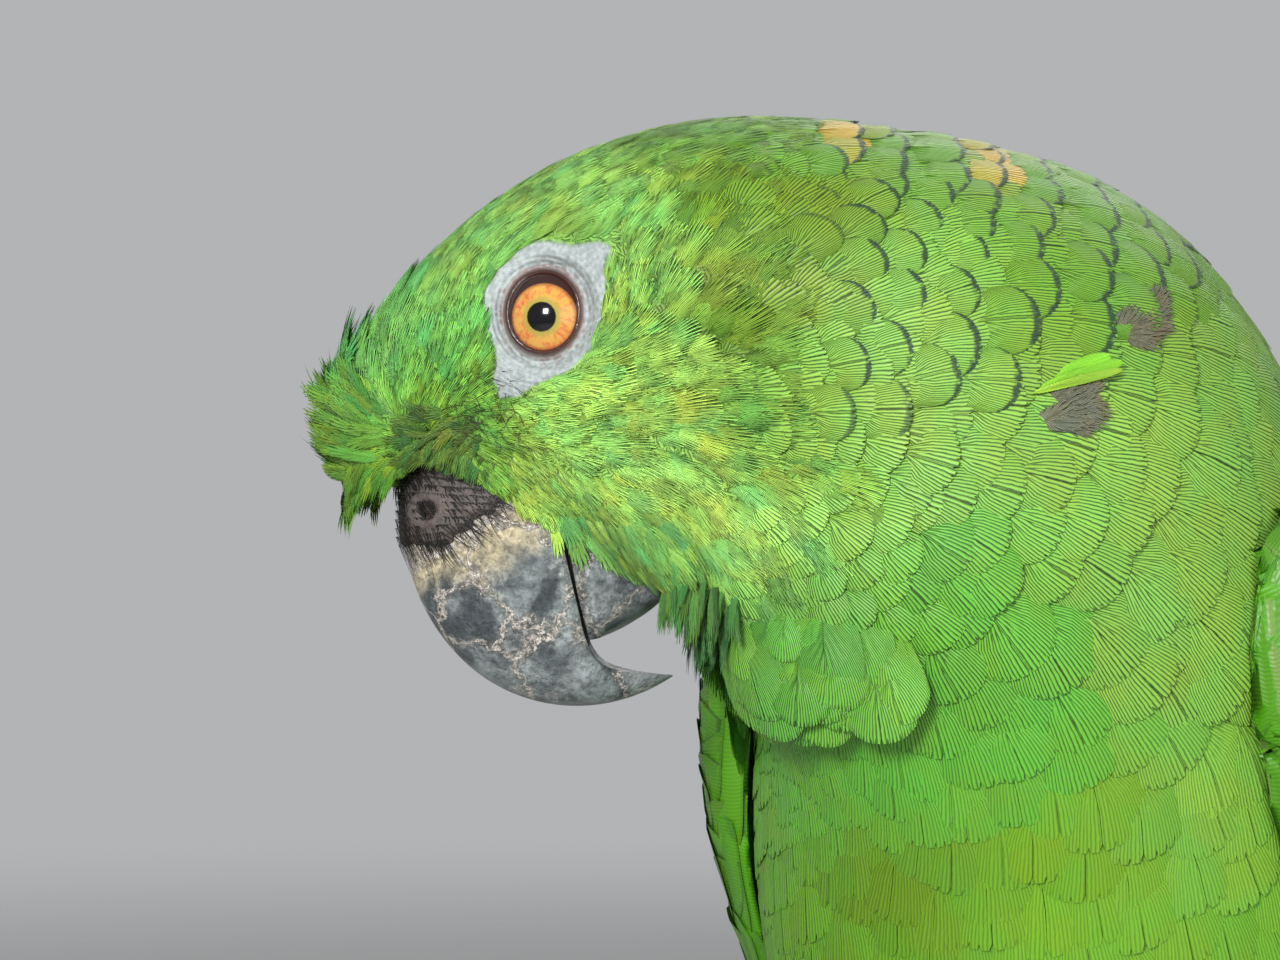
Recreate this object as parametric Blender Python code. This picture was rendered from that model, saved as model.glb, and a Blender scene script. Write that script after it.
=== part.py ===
"""Amazon parrot, life size: a still display model of the whole bird.

The bird stands on z = 0, its body faces -Y and its left side is +X. Its head is turned to its
right and bowed, with the feathers of the nape raised. Sizes are in millimetres and become metres
in the meshes. The surfaces are those of the plumage, out to the tips of the feathers.
"""
import math

import bmesh
import bpy
import numpy as np

MM = 0.001
GAP = 0.35                     # clear space between two pieces that meet
ROOM_SWELL = 1.5 * GAP         # growth along corner normals that leaves at least GAP beside faces
NECK_AXIS_AHEAD = 50.4         # the upright axis on which the head turns, ahead of the body's origin
HEAD_TURN = math.radians(60)   # to the bird's right
HEAD_BOW = math.radians(46)    # bill down
EYE_AHEAD, EYE_HEIGHT = 50.8, 200.0

# Cross-sections from the face to the tips of the tail coverts. Each is flat and upright across:
# the top and the bottom point as distance ahead of the neck axis and height, half the width,
# squareness (2 is an ellipse), turn to the right in degrees, and how far its sides bow backwards.
SECTIONS = np.array([
    (72.0, 178.5, 36.2, 166.2, 9.8, 2.0, 60, 5.4),     # face, round the base of the bill
    (74.8, 189.5, 35.4, 166.1, 11.8, 2.1, 60, 3.6),    # forehead
    (72.3, 197.0, 34.6, 165.9, 13.8, 2.25, 60, 2.0),
    (66.5, 204.3, 33.8, 165.6, 15.8, 2.35, 60, 0.8),   # brow
    (57.0, 212.9, 33.0, 165.1, 17.6, 2.35, 60, 0.0),   # crown, through the eyes
    (43.8, 219.9, 32.2, 164.3, 20.2, 2.2, 60, 0.0),    # back of the crown
    (28.0, 223.0, 31.0, 163.0, 23.5, 2.1, 60, 0.0),    # nape
    (12.0, 221.8, 28.8, 160.2, 26.8, 2.0, 54, 0.0),
    (-3.0, 219.2, 25.5, 155.0, 30.0, 2.0, 41, 0.0),    # hind neck
    (-19.5, 213.3, 20.5, 146.5, 33.6, 2.0, 25, 0.0),   # base of the neck
    (-38.5, 198.3, 15.0, 133.0, 36.6, 2.0, 10, 0.0),   # shoulders
    (-55.0, 176.0, 9.5, 114.0, 38.6, 2.0, 2, 0.0),     # breast
    (-68.5, 151.0, -1.5, 91.5, 39.0, 2.0, 0, 0.0),     # fore belly
    (-81.5, 126.5, -15.5, 65.0, 36.5, 2.0, 0, 0.0),    # belly
    (-94.5, 103.0, -37.5, 47.5, 30.5, 2.0, 0, 0.0),    # vent
    (-108.0, 82.0, -65.5, 40.5, 23.0, 2.0, 0, 0.0),    # rump
    (-122.5, 66.0, -97.0, 40.0, 16.5, 2.0, 0, 0.0),    # root of the tail
    (-135.5, 54.8, -118.5, 34.0, 14.5, 2.0, 0, 0.0),   # tail coverts
    (-149.0, 47.0, -139.0, 28.8, 14.5, 2.0, 0, 0.0),
    (-164.0, 39.8, -157.5, 24.2, 14.5, 2.0, 0, 0.0),
    (-178.5, 33.0, -173.0, 19.0, 14.0, 2.0, 0, 0.0),   # under the wing tips
], float)
NECK_FROM, TRUNK_FROM, COVERTS_FROM, COVERTS_TO = 6.5, 9.4, 16.0, 18.9
COVERTS_THINNING = (0.4, 0.62, 0.62)    # share of width, depth and height lost at their tips
AROUND = 24                    # points round a section of the body
HEAD_RINGS, NECK_RINGS, TRUNK_RINGS, COVERTS_RINGS = 15, 7, 14, 9

# Swells and hollows of the sides of the head: ahead of and above the eye, radius, height.
HEAD_FORMS = (
    (0.0, -0.6, 6.5, -0.9),    # orbit
    (3.5, 8.5, 5.5, 0.7),      # brow ridge
    (12.5, -5.0, 6.5, -1.3),   # lore
    (6.5, -19.0, 8.0, 1.0),    # cheek over the hinge of the jaw
    (-11.0, -9.0, 10.0, 1.2),  # ear coverts
)

EYE_RADIUS = 6.3
EYE_CENTRE = (-0.5, -1.9, 11.0)    # of the eyeball: ahead, above, and out from the middle of the head

# The upper jaw, cere and horn together. Its ridge is a spiral about JAW_CENTRE (ahead of and above
# the eyes); each row is the ridge's angle in degrees, the point of the cutting edge that the
# section reaches, and half the width there.
JAW_CENTRE = (19.0, -21.5)
JAW_RADIUS = 16.8
JAW_OPENING_UP, JAW_OPENING_DOWN = 0.00068, 0.0003    # growth of the radius per squared degree
UPPER_JAW = (
    (92.0, 10.0, -15.5, 8.6),
    (72.0, 13.6, -17.0, 8.8),
    (51.0, 16.4, -19.0, 8.9),
    (31.0, 18.6, -22.0, 8.8),
    (11.0, 20.4, -24.8, 8.5),
    (-9.0, 22.0, -27.3, 7.9),
    (-29.0, 23.6, -29.8, 7.0),
    (-47.0, 24.5, -32.3, 5.9),    # notch of the cutting edge
    (-61.0, 24.2, -34.5, 4.7),
    (-73.0, 22.7, -37.1, 3.3),
    (-82.0, 21.0, -39.3, 1.9),
    (-87.0, 20.0, -40.4, 0.9),    # hook
)
JAW_SQUARENESS = (0.86, 0.92)  # of its sections, across and up
PALATE_HOLLOW = 0.16           # share of the height
CERE_EDGE = ((30.8, -7.4), (18.0, -9.4))    # two points of the seam between cere and horn
CERE_SWELL = 0.5
JAW_ROOM_RINGS = 13            # sections of the upper jaw that the head is cleared for

# The lower jaw: its upper edge, the keel under it, and half the width, from the hinge forwards.
LOWER_JAW = (
    (9.0, -17.0, 7.0, -29.5, 7.4),
    (14.2, -18.9, 11.0, -32.6, 7.7),
    (17.9, -22.7, 14.6, -33.4, 7.5),
    (20.3, -26.0, 17.6, -33.0, 6.9),
    (22.0, -28.7, 20.4, -32.2, 6.0),
    (23.1, -30.4, 22.5, -31.3, 5.0),
)

# The folded wing lies on the body from the bend to the tips over the tail. For a place along the
# body it has the height of its lower and upper edge across the section (-1 bottom, 1 top) and its
# thickness.
WING_EDGES = np.array([
    (9.66, -0.02, 0.16, 1.0),
    (9.8, -0.19, 0.36, 6.0),
    (10.05, -0.30, 0.50, 8.2),
    (10.5, -0.36, 0.64, 8.6),
    (11.0, -0.36, 0.76, 8.0),
    (12.0, -0.28, 0.90, 7.0),
    (13.0, -0.18, 0.955, 6.2),
    (14.0, -0.04, 0.97, 5.6),
    (15.0, 0.14, 0.97, 5.0),
    (16.0, 0.34, 0.97, 4.3),
    (17.0, 0.50, 0.96, 3.6),
    (18.0, 0.56, 0.94, 3.0),
    (19.0, 0.62, 0.92, 2.4),
    (20.0, 0.74, 0.88, 1.6),
])
WING_CLEARANCE = 0.7           # under the wing, over the curve of the body
COVERTS_END = 12.7             # where the wing coverts end along the body
SECONDARIES_END = (13.5, 3.0)  # where the secondaries end at the lower edge, and more at the upper
PRIMARIES_END = (20.0, -3.0)   # where the primaries end at the lower edge, and less at the upper
WING_STEP = 0.6                # each covering layer stands this much above the next
WING_RIM = 0.30                # share of the thickness left at the wing's edges
WING_CREST, WING_ROUNDING = 0.75, 0.6    # place of the crest, and roundness of the section
WING_LEAST, WING_THIN = 0.9, 3.0         # least thickness, and the one under which ridges fade
QUILL_RIDGE = 0.5              # height of the ridge at each quill
LAYER_GAP = 0.012              # between two layers, along the body
# Rows along and columns across each layer, and how many quills overlap across it.
COVERT_GRID, SECONDARY_GRID, PRIMARY_GRID = (10, 9, 0), (8, 15, 7), (9, 13, 6)

TAIL_ROOT = (-62.0, 49.5)      # ahead of the body's origin, height
TAIL_LENGTH = 112.0
TAIL_DROOP = math.radians(21)
TAIL_HALF_WIDTHS = (11.0, 24.0)
TAIL_THICKNESS = (3.4, 1.3)
TAIL_ARCH = 3.0
TAIL_PAIRS = 6                 # feathers on each side of the middle
TAIL_STEP = 0.25               # each feather lies this much under its inner neighbour
TAIL_SPREAD = 0.7              # how early the tail widens
TAIL_ROOT_ARCH = 0.4           # share of the arch at the root
TAIL_TIP_ROUNDING, TAIL_TIP_STEP = 0.022, 0.016    # of each tip, and from each feather to the next
TAIL_SIDE_STEP = 0.012         # the same step along the sides
TAIL_ROWS = (0, 0.3, 0.6, 0.9, 1.0)

FOOT_SIDE, FOOT_AHEAD = 22.0, 16.0
PAD_RADIUS = 7.6
# Toe: direction from straight ahead (outwards is positive), length, joints, bend, claw length.
TOES = (
    (1, -152.0, 12.5, 2, -10.0, 9.5),
    (2, -31.0, 19.0, 2, 12.0, 11.0),
    (3, 21.0, 29.0, 3, -8.0, 12.5),
    (4, 154.0, 24.0, 3, 14.0, 10.5),
)
TOE_HALF_WIDTH, TOE_HEIGHT, TOE_TAPER = 3.05, 6.2, 0.26
TOE_KNUCKLE, TOE_SOLE = 0.06, 0.46       # swelling over a joint; height of the middle of a toe
TOE_END = 0.62                 # height at which the claw leaves the toe, as a share of its own
CLAW_CLEARANCE = 0.2           # of the claw tips over the ground
CLAW_START, CLAW_SWEEP = 24.0, 80.0      # degrees: upwards at the toe, and the turn to the tip
CLAW_HALF_HEIGHT, CLAW_POINT, CLAW_TAPER, CLAW_BREADTH = 1.85, 0.28, 0.75, 0.8
THIGH_AROUND, SHANK_AROUND = 14, 12      # points round a section of a leg
# Leg: height, centre ahead of and outside the foot, half depth and half width.
THIGH = (
    (92.0, 10.0, -9.0, 8.0, 6.0),
    (84.0, 9.0, -6.5, 14.5, 11.5),
    (72.0, 6.0, -3.8, 17.5, 14.0),
    (58.0, 0.5, -1.8, 15.0, 12.0),
    (46.0, -4.0, -0.8, 11.0, 9.2),
    (38.0, -7.0, -0.2, 8.4, 7.4),
    (32.0, -9.0, 0.0, 6.2, 5.7),
)
SHANK = (
    (31.6, -9.2, 0.0, 4.6, 4.3),
    (27.0, -8.8, 0.0, 4.3, 4.0),
    (20.0, -6.4, 0.0, 3.5, 3.5),
    (13.0, -3.2, 0.0, 3.6, 4.0),
    (9.0, -1.4, 0.0, 4.8, 5.2),
    (6.6, -0.4, 0.0, 6.4, 6.6),
    (4.2, 0.0, 0.0, 7.5, 7.5),
    (0.9, 0.0, 0.0, PAD_RADIUS, PAD_RADIUS),
    (0.0, 0.0, 0.0, 6.9, 6.9),
)


# ---------------------------------------------------------------- scene, materials, objects

def empty_scene():
    for old in list(bpy.data.objects):
        bpy.data.objects.remove(old, do_unlink=True)


def collection(name):
    made = bpy.data.collections.new(name)
    bpy.context.scene.collection.children.link(made)
    return made


def finish(name, colour, roughness):
    made = bpy.data.materials.new(name)
    made.use_nodes = True
    shader = made.node_tree.nodes["Principled BSDF"]
    shader.inputs["Base Color"].default_value = (*colour, 1.0)
    shader.inputs["Roughness"].default_value = roughness
    shader.inputs["Metallic"].default_value = 0.0
    return made


def frame(name, parent=None, location=(0, 0, 0), rotation=(0, 0, 0)):
    made = bpy.data.objects.new(name, None)
    made.empty_display_size = 0.02
    made.location = np.array(location) * MM
    made.rotation_euler = rotation
    made.parent = parent
    PARTS.objects.link(made)
    return made


def place(name, bm, finish_used, parent):
    """Put a closed mesh into the model as the node `name`."""
    bmesh.ops.recalc_face_normals(bm, faces=bm.faces)
    mesh = bpy.data.meshes.new(name)
    bm.to_mesh(mesh)
    bm.free()
    mesh.shade_smooth()
    mesh.set_sharp_from_angle(angle=math.radians(40))
    mesh.materials.append(finish_used)
    made = bpy.data.objects.new(name, mesh)
    made.parent = parent
    PARTS.objects.link(made)
    return made


def tube(rings):
    """A closed body through closed rings of points: sides between them and a flat end at each."""
    rings = np.asarray(rings) * MM
    rows, across = rings.shape[:2]
    bm = bmesh.new()
    verts = [[bm.verts.new(p) for p in ring] for ring in rings]
    for row, below in zip(verts, verts[1:]):
        for j in range(across):
            k = (j + 1) % across
            bm.faces.new((row[j], row[k], below[k], below[j]))
    for end in (verts[0], verts[-1]):
        hub = bm.verts.new(np.mean([v.co for v in end], axis=0))
        for j in range(across):
            bm.faces.new((end[j], end[(j + 1) % across], hub))
    return bm


def slab(top, bottom):
    """A closed body between two grids of points with the same rows and columns."""
    rows, across = top.shape[:2]
    bm = bmesh.new()
    upper, lower = ([[bm.verts.new(p) for p in row] for row in sheet * MM] for sheet in (top, bottom))
    for sheet in (upper, lower):
        for a, b in zip(sheet, sheet[1:]):
            for j in range(across - 1):
                bm.faces.new((a[j], a[j + 1], b[j + 1], b[j]))
    rim_upper, rim_lower = (
        s[0] + [row[-1] for row in s[1:]] + s[-1][-2::-1] + [row[0] for row in s[-2:0:-1]]
        for s in (upper, lower))
    for j in range(len(rim_upper)):
        k = (j + 1) % len(rim_upper)
        bm.faces.new((rim_upper[j], rim_upper[k], rim_lower[k], rim_lower[j]))
    return bm


def cutter(name, source=None, bm=None, parent=None, swell=GAP):
    """A hidden body a little larger than a piece, which clears the piece's place in another."""
    if source is not None:
        bm = bmesh.new()
        bm.from_mesh(source.data)
        parent = source.parent
    mesh = bpy.data.meshes.new(name)
    bmesh.ops.recalc_face_normals(bm, faces=bm.faces)
    bm.to_mesh(mesh)
    bm.free()
    made = bpy.data.objects.new(name, mesh)
    made.parent = parent
    if source is not None:
        made.location, made.rotation_euler = source.location, source.rotation_euler
    CUTTERS.objects.link(made)
    made.hide_render = True
    made.display_type = 'WIRE'
    if swell:
        grow = made.modifiers.new("clearance", 'DISPLACE')
        grow.strength, grow.mid_level = swell * MM, 0.0
    return made


def cut(piece, tool):
    hollow = piece.modifiers.new(tool.name, 'BOOLEAN')
    hollow.operation, hollow.solver, hollow.object = 'DIFFERENCE', 'EXACT', tool


# ---------------------------------------------------------------- the body's surface

def through(table, at):
    """Values between the rows of a table on a natural cubic spline; `at` counts rows from 0."""
    rows = np.asarray(table, float)
    count = len(rows)
    system = np.eye(count)
    for i in range(1, count - 1):
        system[i, i - 1:i + 2] = (1, 4, 1)
    bends = np.zeros_like(rows)
    bends[1:-1] = 6 * (rows[:-2] - 2 * rows[1:-1] + rows[2:])
    bends = np.linalg.solve(system, bends)
    low = np.clip(np.floor(at).astype(int), 0, count - 2)
    s = (at - low)[..., None]
    return (rows[low] * (1 - s) + rows[low + 1] * s
            + ((1 - s) ** 3 - (1 - s)) * bends[low] / 6 + (s ** 3 - s) * bends[low + 1] / 6)


def turned(side, ahead, height, turn):
    """A point beside and ahead of the neck axis, carried round that axis to the right."""
    x = side * np.cos(turn) - ahead * np.sin(turn)
    y = -NECK_AXIS_AHEAD - ahead * np.cos(turn) - side * np.sin(turn)
    return np.stack([x, y, height], axis=-1)


def body(along, round_):
    """The plumage's surface: `along` counts sections from the face, `round_` is the angle from the
    left side over the back. A section is a superellipse between its top and bottom points."""
    along, round_ = np.broadcast_arrays(np.asarray(along, float), np.asarray(round_, float))
    row = through(SECTIONS, along)
    top_a, top_z, bottom_a, bottom_z, half, square, turn, bow = np.moveaxis(row, -1, 0)
    power = 2 / square
    cos, sin = np.cos(round_), np.sin(round_)
    across = np.sign(cos) * np.abs(cos) ** power
    up = np.sign(sin) * np.abs(sin) ** power
    ahead = (top_a + bottom_a) / 2 + (top_a - bottom_a) / 2 * up
    height = (top_z + bottom_z) / 2 + (top_z - bottom_z) / 2 * up
    depth = np.hypot(top_a - bottom_a, top_z - bottom_z)
    ahead = ahead - (top_z - bottom_z) / depth * bow * cos ** 2
    height = height + (top_a - bottom_a) / depth * bow * cos ** 2
    from_eye_a, from_eye_z = ahead - EYE_AHEAD, height - EYE_HEIGHT
    front = from_eye_a * math.cos(HEAD_BOW) - from_eye_z * math.sin(HEAD_BOW)
    above = from_eye_a * math.sin(HEAD_BOW) + from_eye_z * math.cos(HEAD_BOW)
    swell = sum(h * np.exp(-((front - f) ** 2 + (above - d) ** 2) / r ** 2) for f, d, r, h in HEAD_FORMS)
    side = half * across + swell * np.clip(2 * cos, -1, 1)
    return turned(side, ahead, height, np.radians(turn))


def outward(along, round_):
    """Unit normals of the body's surface, from its slopes both ways."""
    step = 0.01
    over_along = body(along + step, round_) - body(along - step, round_)
    over_round = body(along, round_ + step) - body(along, round_ - step)
    normal = np.cross(over_along, over_round)
    return normal / np.linalg.norm(normal, axis=-1, keepdims=True)


def body_rings(places, swell=0.0):
    angles = np.linspace(0, 2 * math.pi, AROUND, endpoint=False)
    along, round_ = np.meshgrid(places, angles, indexing='ij')
    points = body(along, round_)
    return points + swell * outward(along, round_) if swell else points


def set_back(rings):
    """Move the first ring off the piece before it, square to its own plane, by the gap."""
    middle = rings[0].mean(axis=0)
    quarter = len(rings[0]) // 4
    square = np.cross(rings[0][0] - middle, rings[0][quarter] - middle)
    square *= np.sign(np.dot(square, rings[1].mean(axis=0) - middle)) / np.linalg.norm(square)
    rings[0] += GAP * square
    return rings


# ---------------------------------------------------------------- head, neck, trunk

def make_body(root):
    head_places = np.linspace(0, NECK_FROM, HEAD_RINGS)
    head = place("head", tube(body_rings(head_places)), FINISHES["face_feathers"], root)
    neck_places = np.linspace(NECK_FROM, TRUNK_FROM, NECK_RINGS)
    place("neck", tube(set_back(body_rings(neck_places))), FINISHES["nape_feathers"], root)
    trunk_places = np.linspace(TRUNK_FROM, COVERTS_FROM, TRUNK_RINGS)
    place("trunk", tube(set_back(body_rings(trunk_places))), FINISHES["body_feathers"], root)
    grown = body_rings(trunk_places, swell=GAP)
    return head, cutter("trunk_room", bm=tube(grown), parent=root, swell=0)


def make_tail_coverts(root):
    """The feathers round the root of the tail, thinning towards their tips above and below it."""
    places = np.linspace(COVERTS_FROM, COVERTS_TO, COVERTS_RINGS)
    rings = set_back(body_rings(places))
    for ring, at in zip(rings, places):
        middle = ring.mean(axis=0)
        way = (at - COVERTS_FROM) / (COVERTS_TO - COVERTS_FROM)
        keep = 1 - np.array(COVERTS_THINNING) * way ** 2
        ring[:] = middle + (ring - middle) * keep
    return place("tail_coverts", tube(rings), FINISHES["body_feathers"], root)


# ---------------------------------------------------------------- eyes, cere, bill

def make_eyes(head_frame, head):
    front, above, out = EYE_CENTRE
    for name, side in (("eye_left", 1), ("eye_right", -1)):
        bm = bmesh.new()
        bmesh.ops.create_uvsphere(bm, u_segments=14, v_segments=9, radius=EYE_RADIUS * MM)
        ball = place(name, bm, FINISHES["iris"], head_frame)
        ball.rotation_euler = (0, side * math.pi / 2, 0)
        ball.location = (side * out * MM, -front * MM, above * MM)
        cut(head, cutter(name + "_socket", source=ball, swell=GAP))


def upper_jaw_rings(rows_between=2, arch_points=10):
    """Sections from the base to the hook: a rounded arch from cutting edge to ridge and back,
    closed by a palate that is hollowed upwards."""
    table = through(UPPER_JAW, np.linspace(0, len(UPPER_JAW) - 1, rows_between * (len(UPPER_JAW) - 1) + 1))
    arch = np.linspace(0, math.pi, arch_points + 1)
    palate = np.linspace(-1, 1, 5)[1:-1]
    across = np.concatenate([np.sign(np.cos(arch)) * np.abs(np.cos(arch)) ** JAW_SQUARENESS[0], palate])
    up = np.concatenate([np.sin(arch) ** JAW_SQUARENESS[1], PALATE_HOLLOW * (1 - palate ** 2)])
    rings = []
    for angle, edge_f, edge_d, half in table:
        grown = JAW_OPENING_UP if angle > 0 else JAW_OPENING_DOWN
        radius = JAW_RADIUS + grown * angle ** 2
        ridge_f = JAW_CENTRE[0] + radius * math.cos(math.radians(angle))
        ridge_d = JAW_CENTRE[1] + radius * math.sin(math.radians(angle))
        front = edge_f + (ridge_f - edge_f) * up
        above = edge_d + (ridge_d - edge_d) * up
        rings.append(np.stack([half * across, -front, above], axis=-1))
    return np.array(rings)


def lower_jaw_rings():
    """Sections from the hinge to the chisel edge: flat on top, rounded towards the keel."""
    table = through(LOWER_JAW, np.linspace(0, len(LOWER_JAW) - 1, 2 * len(LOWER_JAW) - 1))
    arch = np.linspace(0, math.pi, 9)
    across = np.concatenate([np.cos(arch), [-0.5, 0.0, 0.5]])
    down = np.concatenate([np.sin(arch) ** 0.8, [0.0, 0.0, 0.0]])
    rings = []
    for edge_f, edge_d, keel_f, keel_d, half in table:
        front = edge_f + (keel_f - edge_f) * down
        above = edge_d + (keel_d - edge_d) * down
        rings.append(np.stack([half * across, -front, above], axis=-1))
    return np.array(rings)


def half_space(bm, point, normal):
    """Keep the side of a plane that its normal points away from, and close the cut."""
    parts = bm.verts[:] + bm.edges[:] + bm.faces[:]
    made = bmesh.ops.bisect_plane(bm, geom=parts, dist=1e-7, plane_co=point, plane_no=normal,
                                  clear_outer=True)
    rim = [e for e in made["geom_cut"] if isinstance(e, bmesh.types.BMEdge)]
    bmesh.ops.holes_fill(bm, edges=rim, sides=0)
    return bm


def make_bill(head_frame, head):
    whole = upper_jaw_rings()
    (f0, d0), (f1, d1) = CERE_EDGE
    seam = np.array([0, -f0, d0])
    upwards = np.array([0, d0 - d1, f0 - f1])
    upwards = upwards / np.linalg.norm(upwards)
    horn = half_space(tube(whole), (seam - upwards * GAP / 2) * MM, upwards)
    swollen = whole * (1 + CERE_SWELL / UPPER_JAW[0][3], 1, 1)
    cere = half_space(tube(swollen), (seam + upwards * GAP / 2) * MM, -upwards)
    place("bill_upper", horn, FINISHES["horn"], head_frame)
    place("cere", cere, FINISHES["cere"], head_frame)
    bill_lower = place("bill_lower", tube(lower_jaw_rings()), FINISHES["horn"], head_frame)
    room = tube(swollen[:JAW_ROOM_RINGS])
    cut(head, cutter("upper_jaw_room", bm=room, parent=head_frame, swell=ROOM_SWELL))
    cut(head, cutter("lower_jaw_room", source=bill_lower, swell=ROOM_SWELL))


# ---------------------------------------------------------------- wings and tail

def wing_sheet(side, along, share, lift):
    """Points over the body's side at a share of the wing's breadth, lifted off the plumage."""
    low, high = (np.interp(along, WING_EDGES[:, 0], WING_EDGES[:, k]) for k in (1, 2))
    angle = np.arcsin(low) * (1 - share) + np.arcsin(high) * share
    round_ = angle if side > 0 else math.pi - angle
    return body(along, round_) + outward(along, round_) * lift[..., None]


def make_wing_layer(name, side, starts, ends, rows, columns, feathers, drop, finish_used, root):
    """One layer of the folded wing, between two lines across it. `feathers` is how many overlap
    across it, and `drop` how far it lies under the layer that covers it."""
    share = np.linspace(0, 1, columns)[None, :] + np.zeros((rows, 1))
    way = np.linspace(0, 1, rows)[:, None]
    along = starts(share) * (1 - way) + ends(share) * way
    full = np.interp(along, WING_EDGES[:, 0], WING_EDGES[:, 3]) - drop
    crown = WING_RIM + (1 - WING_RIM) * np.sin(math.pi * share ** WING_CREST) ** WING_ROUNDING
    ridge = QUILL_RIDGE * ((share * feathers) % 1.0 - 0.5) if feathers else 0.0
    thick = np.maximum(full * crown + ridge * np.minimum(1, full / WING_THIN), WING_LEAST)
    base = np.full_like(thick, WING_CLEARANCE)
    outer, inner = (wing_sheet(side, along, share, lift) for lift in (base + thick, base))
    return place(name, slab(outer, inner), finish_used, root)


def line_across(at, slope, shift=0.0):
    """A line across the wing: its place along the body at each share of the wing's breadth."""
    return lambda share: at + shift + slope * share


def make_wings(root):
    plumage, flight = FINISHES["body_feathers"], FINISHES["flight_feathers"]
    for word, side in (("left", 1), ("right", -1)):
        make_wing_layer(f"wing_{word}_coverts", side, line_across(WING_EDGES[0, 0], 0.0),
                        line_across(COVERTS_END, 0.0, -LAYER_GAP), *COVERT_GRID, 0.0, plumage, root)
        make_wing_layer(f"wing_{word}_secondaries", side, line_across(COVERTS_END, 0.0, LAYER_GAP),
                        line_across(*SECONDARIES_END, -LAYER_GAP), *SECONDARY_GRID, WING_STEP, flight, root)
        make_wing_layer(f"wing_{word}_primaries", side, line_across(*SECONDARIES_END, LAYER_GAP),
                        line_across(*PRIMARIES_END), *PRIMARY_GRID, 2 * WING_STEP, flight, root)


def tail_sheets(columns, rows):
    """Upper and lower side of twelve feathers folded on each other: the middle pair on top, each
    next one a step lower and a little shorter, under a common arch."""
    share = np.linspace(-1, 1, columns)[None, :]
    place_in_row = np.abs(share) * TAIL_PAIRS
    feather = np.minimum(np.floor(place_in_row), TAIL_PAIRS - 1)
    tip = 1 - TAIL_TIP_ROUNDING * (2 * np.abs(place_in_row - feather - 0.5)) ** 2 - TAIL_TIP_STEP * feather
    way = np.array(rows)[:, None]
    length = TAIL_LENGTH * way * np.where(way == 1.0, tip, 1.0 - TAIL_SIDE_STEP * feather)
    half = TAIL_HALF_WIDTHS[0] + (TAIL_HALF_WIDTHS[1] - TAIL_HALF_WIDTHS[0]) * way ** TAIL_SPREAD
    thick = TAIL_THICKNESS[0] + (TAIL_THICKNESS[1] - TAIL_THICKNESS[0]) * way
    arch = TAIL_ROOT_ARCH + (1 - TAIL_ROOT_ARCH) * way
    above = -TAIL_ARCH * share ** 2 * arch - TAIL_STEP * (place_in_row - feather) * way
    ahead = TAIL_ROOT[0] - length * math.cos(TAIL_DROOP)
    height = TAIL_ROOT[1] - length * math.sin(TAIL_DROOP) + above
    top = np.stack([half * share, -ahead, height + thick / 2], axis=-1)
    bottom = np.stack([half * share, -ahead, height - thick / 2], axis=-1)
    return top, bottom


def make_tail(root, coverts):
    place("tail", slab(*tail_sheets(4 * TAIL_PAIRS + 1, TAIL_ROWS)), FINISHES["flight_feathers"], root)
    top, bottom = tail_sheets(2 * TAIL_PAIRS + 1, TAIL_ROWS[:3])
    step = np.array([0, 0, TAIL_STEP])
    cut(coverts, cutter("tail_room", bm=slab(top + step, bottom - step), parent=root, swell=ROOM_SWELL))


# ---------------------------------------------------------------- legs

def upright_rings(table, side, points):
    """Level rings of points, one to each row of the table."""
    rows = np.array(table)
    angles = np.linspace(0, 2 * math.pi, points, endpoint=False)
    return np.array([np.stack([side * out + half * np.cos(angles), -front + deep * np.sin(angles),
                               np.full_like(angles, height)], axis=-1)
                     for height, front, out, deep, half in rows])


def toe_rings(side, heading, length, joints, bend):
    """Rings along the toe, swollen over each joint and flat underneath where it bears."""
    way = np.linspace(0, 1, 2 * joints + 3)
    angles = np.linspace(0, 2 * math.pi, 8, endpoint=False) + math.pi / 8
    rings = []
    for s in way:
        turn = math.radians(heading + bend * s / 2)
        reach = PAD_RADIUS + GAP + length * s
        forward = np.array([side * math.sin(turn), -math.cos(turn), 0])
        facing = math.radians(heading + bend * s)
        sideways = np.array([math.cos(facing), side * math.sin(facing), 0])
        slim = (1 - TOE_TAPER * s) * (1 + TOE_KNUCKLE * math.cos(2 * math.pi * joints * s))
        across = TOE_HALF_WIDTH * slim * np.cos(angles)
        up = np.clip(TOE_HEIGHT * slim * (TOE_SOLE + (1 - TOE_SOLE) * np.sin(angles)), 0, None)
        ring = forward * reach + across[:, None] * sideways + up[:, None] * (0, 0, 1)
        if s == 0:
            ring += forward * (np.sqrt((PAD_RADIUS + GAP) ** 2 - across ** 2) - PAD_RADIUS - GAP)[:, None]
        rings.append(ring)
    return np.array(rings), forward, sideways, slim


def claw_rings(end, direction, sideways, length):
    """A hooked cone that leaves the toe level, humps and comes down to the ground."""
    sweep, start = math.radians(CLAW_SWEEP), math.radians(CLAW_START)
    radius = length / sweep
    rings = []
    for s in np.linspace(0, 1, 5):
        angle = start - sweep * s
        centre = end + direction * radius * (math.sin(start) - math.sin(angle))
        centre = centre + np.array([0, 0, radius * (math.cos(angle) - math.cos(start))])
        along = direction * math.cos(angle) + np.array([0, 0, math.sin(angle)])
        up = np.cross(sideways, along)
        up *= np.sign(up[2])
        thick = CLAW_HALF_HEIGHT * (1 - s) ** CLAW_TAPER + CLAW_POINT
        turn = np.linspace(0, 2 * math.pi, 6, endpoint=False)
        across, over = CLAW_BREADTH * np.cos(turn)[:, None], np.sin(turn)[:, None]
        ring = centre + thick * (across * sideways + over * up)
        if s == 0:
            ring -= ((ring - centre) @ direction)[:, None] * direction
        ring[:, 2] = np.maximum(ring[:, 2], CLAW_CLEARANCE)
        rings.append(ring)
    return np.array(rings)


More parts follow.
